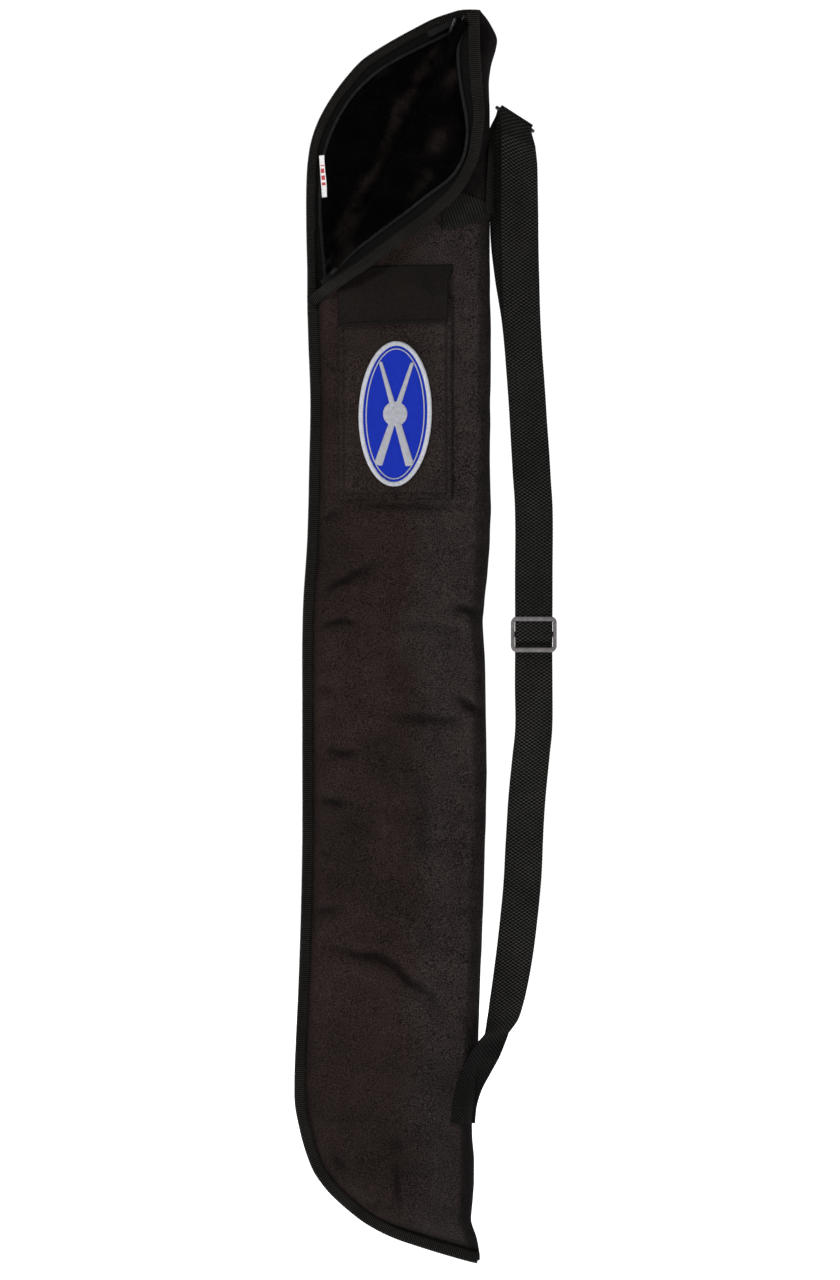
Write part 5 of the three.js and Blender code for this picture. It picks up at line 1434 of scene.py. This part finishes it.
M_LABEL = label_mat()
nu, nv = 40, 10
u = np.linspace(0, 1, nu)[:, None] + np.zeros((1, nv))
v = np.linspace(0, 1, nv)[None] + np.zeros((nu, 1))
lx = -51.4 + 1.9 * u + 3.5 * v - 0.2 * np.sin(u * 7) * v
lz = 321.4 - 28.0 * u + 0.3 * v
ly = -5.35 - 1.5 * np.sin(np.pi * v * 0.5) - 0.5 * np.sin(u * 5.0 + 0.6) * v
top = np.stack([lx, ly - 0.12, lz], -1)
bot = np.stack([lx, ly + 0.12, lz], -1)
m = Mesh()
m.slab(top, bot, np.stack([u * 28, v * 3.8], -1))
o = m.make("care_label_ribbon", M_LABEL)
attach(o, "case")
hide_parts("care_label")

# ------------------------------------------------------------------ webbing
SWING_Y = -8.5


def surface_y(x, z):
    """Outer surface of the sleeve seen from the front, over the roll at the spine as well."""
    xr, r, cx_, cy_, yb, yf = roll_of(z)
    t_ = np.clip((x - cx_) / np.maximum(r, 1), 0, 0.97)
    return np.where(x > cx_, cy_ - r * np.sqrt(1 - t_ ** 2), front_y(np.minimum(x, cx_), z))


def web_grid(pts, wv, width, thick, mesh, rib=2.35, per=6, col=1.8, amp=0.2, drape=None):
    """Woven strap along pts (n, 3), wv unit vectors across it; the ribs sit half a pitch off in alternate columns."""
    P = spline(pts, 700, 3)
    L = length(P)
    n = max(12, int(L / rib * per))
    P = resample(P, n)
    S0 = np.r_[0, np.cumsum(np.linalg.norm(np.diff(np.asarray(pts, float), axis=0), axis=1))]
    s = np.linspace(0, S0[-1], n)
    W = unit(np.stack([np.interp(s, S0, np.asarray(wv, float)[:, c]) for c in range(3)], 1))
    if np.ndim(width):
        width = np.interp(s, S0, width)
    T = tangents(P)
    N = unit(np.cross(T, W))
    s = np.linspace(0, L, n)
    half = float(np.max(width)) / 2
    k_ = int(round(2 * half / col))
    v = np.r_[-1.0, np.ravel([[-1 + 2 * (i + 0.28) / k_, -1 + 2 * (i + 0.72) / k_] for i in range(k_)]), 1.0]
    cidx = np.r_[0, np.repeat(np.arange(k_), 2), k_ - 1]
    hw = (np.asarray(width) / 2 + 0.05 * np.cos(2 * np.pi * s / rib) + 0.12 * vnoise(s, 0, 30, 131)) * np.ones(n)
    prof = np.where(np.abs(v) > 0.999, 0.45, 1.0)
    off = 0.5 * (cidx % 2)
    ribh = amp * np.cos(2 * np.pi * (s[:, None] / rib + off[None]))
    h = (thick / 2 * prof[None] + ribh * (prof[None] > 0.5))
    wav = 0.15 * vnoise(s[:, None] + 0 * v, v[None] * 8, 40, 132)
    C = P[:, None] + W[:, None] * (v[None, :, None] * hw[:, None, None]) + N[:, None] * wav[..., None]
    if drape is not None:
        w_ = smooth((drape - C[..., 2]) / 26)
        C[..., 1] = C[..., 1] * (1 - w_) + (surface_y(C[..., 0], C[..., 2]) - 0.75) * w_
    top, bot = C + N[:, None] * h[..., None], C - N[:, None] * h[..., None]
    uv = np.stack([s[:, None] + 0 * v[None], (v[None] * 0.5 + 0.5) * k_ * col + 0 * s[:, None]], -1)
    mesh.slab(top, bot, uv)
    return P, W, N


RT = math.radians(33.2)
RL, RM = np.array([math.cos(RT), 0, -math.sin(RT)]), np.array([math.sin(RT), 0, math.cos(RT)])
RING_C = np.array([79.4, SWING_Y, 345.4])
FY, RY = SWING_Y - 2.1, SWING_Y + 2.1
BAR_Y = SWING_Y - (9.4 - 2.3) / 2
W0 = np.array([1.0, 0, 0])
mixw = lambda t: unit(W0 * (1 - t) + RL * t)
front_leg, fw = [], []
for p_, w_ in [((92, -7.3, 0.6), 0), ((92, -7.6, -1.8), 0), ((92, -8.9, -3.2), 0), ((92, -10.4, -1.4), 0), ((92, -10.6, 3.0), 0), ((92, FY, 12), 0), ((92, FY, 40), 0), ((92, FY, 86), 0), ((90.2, FY, 112), 0), ((87.5, FY, 158), 0), ((85.2, FY, 190), 0),
               ((83.6, FY, 225), 0), ((82.6, FY, 262), 0), ((82.4, FY, 296), 0.05), ((82.2, FY - 0.4, 316), 0.3), ((81.6, FY - 2.2, 332), 0.7)]:
    front_leg.append(p_)
    fw.append(mixw(w_))
turn, tw = [], []
for a in np.linspace(-np.pi / 2, np.pi / 2, 9):
    q = RING_C + RM * (0.5 + 2.05 * math.cos(a))
    turn.append((q[0], BAR_Y + 2.05 * math.sin(a), q[2]))
    tw.append(RL)
rear, rw = [], []
rear_src = [((78.0, BAR_Y + 2.65, 334), 0.7), ((76.3, RY - 0.7, 322), 0.35), ((75.6, RY, 308), 0.08), ((75.6, RY, 268), 0), ((78.4, RY, 240), 0), ((83, RY, 211), 0), ((85.6, RY, 185), 0),
            ((87.6, RY, 158), 0), ((89.6, RY, 128), 0), ((91, RY, 104), 0), ((92, RY, 86), 0), ((92, RY, 40), 0), ((92, RY, -30), 0), ((92, RY, -62), 0), ((90.2, RY, -80), 0),
            ((87.4, RY, -109), 0), ((85.8, RY, -136), 0), ((84.5, RY, -162.7), 0), ((82, RY - 0.3, -189), 0)]
for p_, w_ in rear_src:
    rear.append(p_)
    rw.append(mixw(w_))
for p_, ang in [((78.7, RY - 1.2, -216), 9), ((74.4, RY - 2.4, -242), 22), ((71.2, RY - 3.2, -256), 33)]:
    rear.append(p_)
    rw.append(np.array([math.cos(math.radians(ang)), math.sin(math.radians(ang)), 0]))

# front layer up to just under the ring: follows the adjuster at its lower end
m = Mesh()
web_grid(front_leg, fw, 25.0, 1.15, m)
o = m.make("strap_front_layer", M_WEB_FRONT)
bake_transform(o)
# the rear layer runs on over the spine's edge into the tab sewn to the front
v3 = lambda *a: unit(np.array(a, float))
low = [((67.2, -13.0, -265), v3(0.66, 0.75, 0), 24.0), ((63.0, -15.6, -272), v3(0.82, 0.55, -0.05), 22.5), ((58.2, -18.0, -281), v3(0.95, 0.25, -0.15), 20.5),
       ((53.2, -18.9, -291), v3(0.98, 0.05, -0.2), 19), ((48.6, -18.8, -301.6), v3(0.98, 0, -0.15), 17.5), ((45.8, -18.6, -313), v3(1, 0, -0.05), 16.5), ((44.6, -18.3, -325), v3(1, 0, 0), 16.5)]
m = Mesh()
all_pts = front_leg[-1:] + turn + rear + [a for a, _, _ in low]
all_w = fw[-1:] + tw + rw + [b for _, b, _ in low]
all_width = [25.0] * (len(all_pts) - len(low)) + [c for _, _, c in low]
web_grid(all_pts, all_w, np.array(all_width), 1.15, m, drape=-272.0)
o = m.make("strap_rear_layer", M_WEB)
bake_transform(o)
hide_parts("shoulder_strap", "lower_anchor_tab")
st = Mesh()
for z0 in (-323.0, -314.0):
    xs = np.linspace(37.5, 51.0, 12)
    C = np.stack([xs, surface_y(xs, z0 + 0 * xs) - 1.4, z0 + 0 * xs], 1)
    stitches(st, C, np.tile([0, -1.0, 0], (len(C), 1)), 2.2, 0.7, 0.3)
o = st.make("lower_tab_stitching", M_THREAD)
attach(o, "case")


# upper tab: webbing from under the corner round the spine, folded up to the ring
def roll_pt(z, ang, r):
    xr = spine_x(z)
    cx_ = xr - 8.5
    return cx_ + r * np.cos(ang), SWING_Y + r * np.sin(ang)


nu, nv = 120, 16
u = np.linspace(0, 1, nu)[:, None]
v = np.linspace(0, 1, nv)[None]
span_f = 23.3
arc_len = 9.6 * (np.pi / 2 + 0.95)
s = u * (span_f + arc_len)
zlo = 271.6 + 7.4 * smooth(s / (span_f + 9.6 * 1.5))
zhi = 297.4 - 8.0 * smooth((s - 8) / 26)
Z = zlo + (zhi - zlo) * v
ang = np.clip(-np.pi / 2 + (s - span_f) / 9.6, -np.pi / 2, 0.95) + 0 * v
flat = np.clip((span_f - s) / span_f, 0, 1) + 0 * v
tops = []
for r in (9.0, 10.05):
    rib_ = 0.10 * np.cos(2 * np.pi * (s / 1.7 + 0.5 * (np.arange(nv)[None] % 2))) * (1 if r > 9.5 else 0)
    cx_ = spine_x(Z) - 8.5
    x = np.where(flat > 0, cx_ - flat * span_f, cx_ + (r + rib_) * np.cos(ang))
    y = np.where(flat > 0, SWING_Y - r - rib_, SWING_Y + (r + rib_) * np.sin(ang))
    y = y - 0.25 * vnoise(x, Z, 18, 141)
    tops.append(np.stack([x, y, Z + 0 * x], -1))
m = Mesh()
m.slab(tops[1], tops[0], np.stack([s + 0 * v, Z - 280], -1))
o = m.make("upper_tab_band", M_TAB)
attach(o, "case")
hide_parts("upper_anchor_tab")
nu, nv = 110, 14
u = np.linspace(0, 1, nu)[:, None]
v = np.linspace(0, 1, nv)[None]
zc_ = 281 + 68 * u
grow = smooth((zc_ - 322) / 24)
a0, a1 = -1.05 + 0.35 * u, 0.95 - 0.1 * u
ang = a0 + (a1 - a0) * v
layers = []
for r in (10.2, 11.3):
    rib_ = 0.1 * np.cos(2 * np.pi * (zc_ / 2.0 + 0.5 * (np.arange(nv)[None] % 2)))
    rr_ = r + (rib_ if r > 11 else 0)
    cx_ = spine_x(zc_) - 8.5
    x1 = cx_ + rr_ * np.cos(ang)
    y1 = SWING_Y + rr_ * np.sin(ang)
    # gathered flat towards the ring
    x2 = 66.0 + 6.5 * smooth((zc_ - 330) / 20) + (r - 10.7) * 0.8 + 0 * v
    y2 = SWING_Y + 4.6 + (v - 0.5) * 6.0 * 0 + (r - 10.7) - 7.5 * (1 - v) * (1 - grow) * 0
    x2 = x2 + (v - 0.5) * 9
    x_ = x1 * (1 - grow) + x2 * grow
    y_ = y1 * (1 - grow) + y2 * grow
    z_ = zc_ + (v - 0.5) * -6.0 * grow + (0.5 - v) * 5 * (1 - smooth((zc_ - 281) / 12))
    layers.append(np.stack([x_, y_, z_ + 0 * x_], -1))
m = Mesh()
m.slab(layers[1], layers[0], np.stack([zc_ + 0 * v, v * 20 + 0 * u], -1))
o = m.make("upper_tab_riser", M_TAB)
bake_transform(o)


# ------------------------------------------------------------------ strap ring and adjuster: rounded bars swept round a frame
def frame_loop(w, h, r, n_corner=10, n_side=14):
    """Closed rounded rectangle centred on the origin: points, outward normals."""
    P, N = [], []
    for cx_, cy_, a0 in ((w / 2 - r, -h / 2 + r, -90), (w / 2 - r, h / 2 - r, 0), (-w / 2 + r, h / 2 - r, 90), (-w / 2 + r, -h / 2 + r, 180)):
        for a in np.linspace(a0, a0 + 90, n_corner):
            c, s_ = math.cos(math.radians(a)), math.sin(math.radians(a))
            P.append((cx_ + r * c, cy_ + r * s_))
            N.append((c, s_))
    P, N = np.array(P), np.array(N)
    Q, M_ = [], []
    for i in range(len(P)):
        j = (i + 1) % len(P)
        k_ = n_side if np.linalg.norm(P[j] - P[i]) > 2.5 else 1
        for t_ in np.arange(k_) / k_:
            Q.append(P[i] * (1 - t_) + P[j] * t_)
            M_.append(N[i] * (1 - t_) + N[j] * t_)
    return np.array(Q), unit(np.array(M_))


def superellipse(a, b, n=14, p=3.2):
    t_ = np.arange(n) * 2 * np.pi / n
    c, s_ = np.cos(t_), np.sin(t_)
    return np.stack([a * np.sign(c) * np.abs(c) ** (2 / p), b * np.sign(s_) * np.abs(s_) ** (2 / p)], 1)


Q, Nq = frame_loop(31.0 - 2.3, 9.4 - 2.3, 2.2)
sec = superellipse(1.15, 1.1, 12, 2.6)
G = np.zeros((len(Q), len(sec), 3))
for j, (e, d_) in enumerate(sec):
    l_, y_ = Q[:, 0] + Nq[:, 0] * e, Q[:, 1] + Nq[:, 1] * e
    G[:, j] = RING_C + RL * l_[:, None] + np.array([0, 1.0, 0]) * y_[:, None] + RM * d_
m = Mesh()
m.tube(G, closed=True)
o = m.make("strap_ring_moulded", M_RING)
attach(o, "strap")
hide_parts("strap_ring")

# adjuster
AX0, AZ0 = 92.0, 1.4
m = Mesh()
Q, Nq = frame_loop(30.6 - 2.5, 23.6 - 2.9, 2.6, 12, 16)
side = np.abs(Nq[:, 0]) ** 2
G = np.zeros((len(Q), 18, 3))
sec = superellipse(1.0, 1.0, 18, 3.4)
for j, (e, d_) in enumerate(sec):
    half = 1.25 + (1.55 - 1.25) * (1 - side)
    yb_ = -11.4 + 3.6 * side  # sides reach back behind the webbing
    yc_, yh_ = (yb_ - 13.1) / 2, (yb_ + 13.1) / 2
    G[:, j, 0] = AX0 + Q[:, 0] + Nq[:, 0] * e * half
    G[:, j, 2] = AZ0 + Q[:, 1] + Nq[:, 1] * e * half
    G[:, j, 1] = yc_ + d_ * yh_
m.tube(G, closed=True)
bar = superellipse(1.05, 1.85, 16, 2.8)
xs = np.linspace(-14.2, 14.2, 30)
G = np.stack([np.stack([AX0 + xs, SWING_Y + 0 * xs + b_[0], AZ0 + b_[1] + 0 * xs], -1) for b_ in bar], 1)
m.tube(G)
o = m.make("adjuster_moulded", M_ADJ)
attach(o, "adjuster")
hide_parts("strap_adjuster")

# ------------------------------------------------------------------ small CAD parts that stay, with real finishes
for node, mt in (("zipper_slider", M_METAL), ("zipper_pull", M_METAL), ("zipper_end_stop", M_METAL), ("pocket_loop_tape", M_PILE), ("pocket_hook_tape", M_COIL)):
    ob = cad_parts[node]
    ob.data.materials.clear()
    ob.data.materials.append(mt)

# ------------------------------------------------------------------ stage, light, camera
floor_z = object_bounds()[0][2] - 0.0005
me = bpy.data.meshes.new("floor")
R = 6.0
me.from_pydata([(-R, -R, floor_z), (R, -R, floor_z), (R, R, floor_z), (-R, R, floor_z)], [], [(0, 1, 2, 3)])
floor = bpy.data.objects.new("floor", me)
scene.collection.objects.link(floor)
k = MB("floor_paper", 0.9, 0.1)
k.color((0.86, 0.86, 0.86))
k.b.inputs["Emission Color"].default_value = (1, 1, 1, 1)
k.b.inputs["Emission Strength"].default_value = 1.1
me.materials.append(k.m)

world = bpy.data.worlds.new("studio")
scene.world = world
world.use_nodes = True
nt = world.node_tree
bg = nt.nodes["Background"]
lp = nt.nodes.new("ShaderNodeLightPath")
mx = nt.nodes.new("ShaderNodeMath")
mx.operation = "MULTIPLY_ADD"
nt.links.new(lp.outputs["Is Camera Ray"], mx.inputs[0])
mx.inputs[1].default_value = 0.98
mx.inputs[2].default_value = 0.07
nt.links.new(mx.outputs[0], bg.inputs["Strength"])
bg.inputs["Color"].default_value = (1, 1, 1, 1)


def area(name, loc, target, size, power, size_y=None):
    L_ = bpy.data.lights.new(name, "AREA")
    L_.energy = power
    L_.shape = "RECTANGLE"
    L_.size, L_.size_y = size, size_y or size
    ob = bpy.data.objects.new(name, L_)
    scene.collection.objects.link(ob)
    ob.location = loc
    ob.rotation_euler = (Vector(target) - Vector(loc)).to_track_quat("-Z", "Y").to_euler()
    return ob


area("key", (-1.5, -2.3, 2.1), (0, 0, -0.02), 0.7, 53, 0.7)
area("fill", (0.6, -4.2, 0.4), (0, 0, -0.05), 1.2, 14, 1.2)
area("rim", (1.4, 0.8, 1.6), (0, 0, 0.1), 0.8, 6)
area("back", (-1.9, 3.0, 1.4), (0, 0, 0), 1.2, 70)
area("side", (3.4, -0.3, 0.5), (0, 0, 0), 1.2, 11)

cam = bpy.data.cameras.new("camera")
cam.lens, cam.sensor_width, cam.sensor_fit = 200.0, 36.0, "AUTO"
cam.clip_end = 60
co = bpy.data.objects.new("camera", cam)
scene.collection.objects.link(co)
co.location = (0.01603, -4.75 - 0.0085, -0.00234)
co.rotation_euler = (math.pi / 2, 0, 0)
scene.camera = co
scene.view_settings.view_transform = "Standard"
scene.view_settings.look = "None"
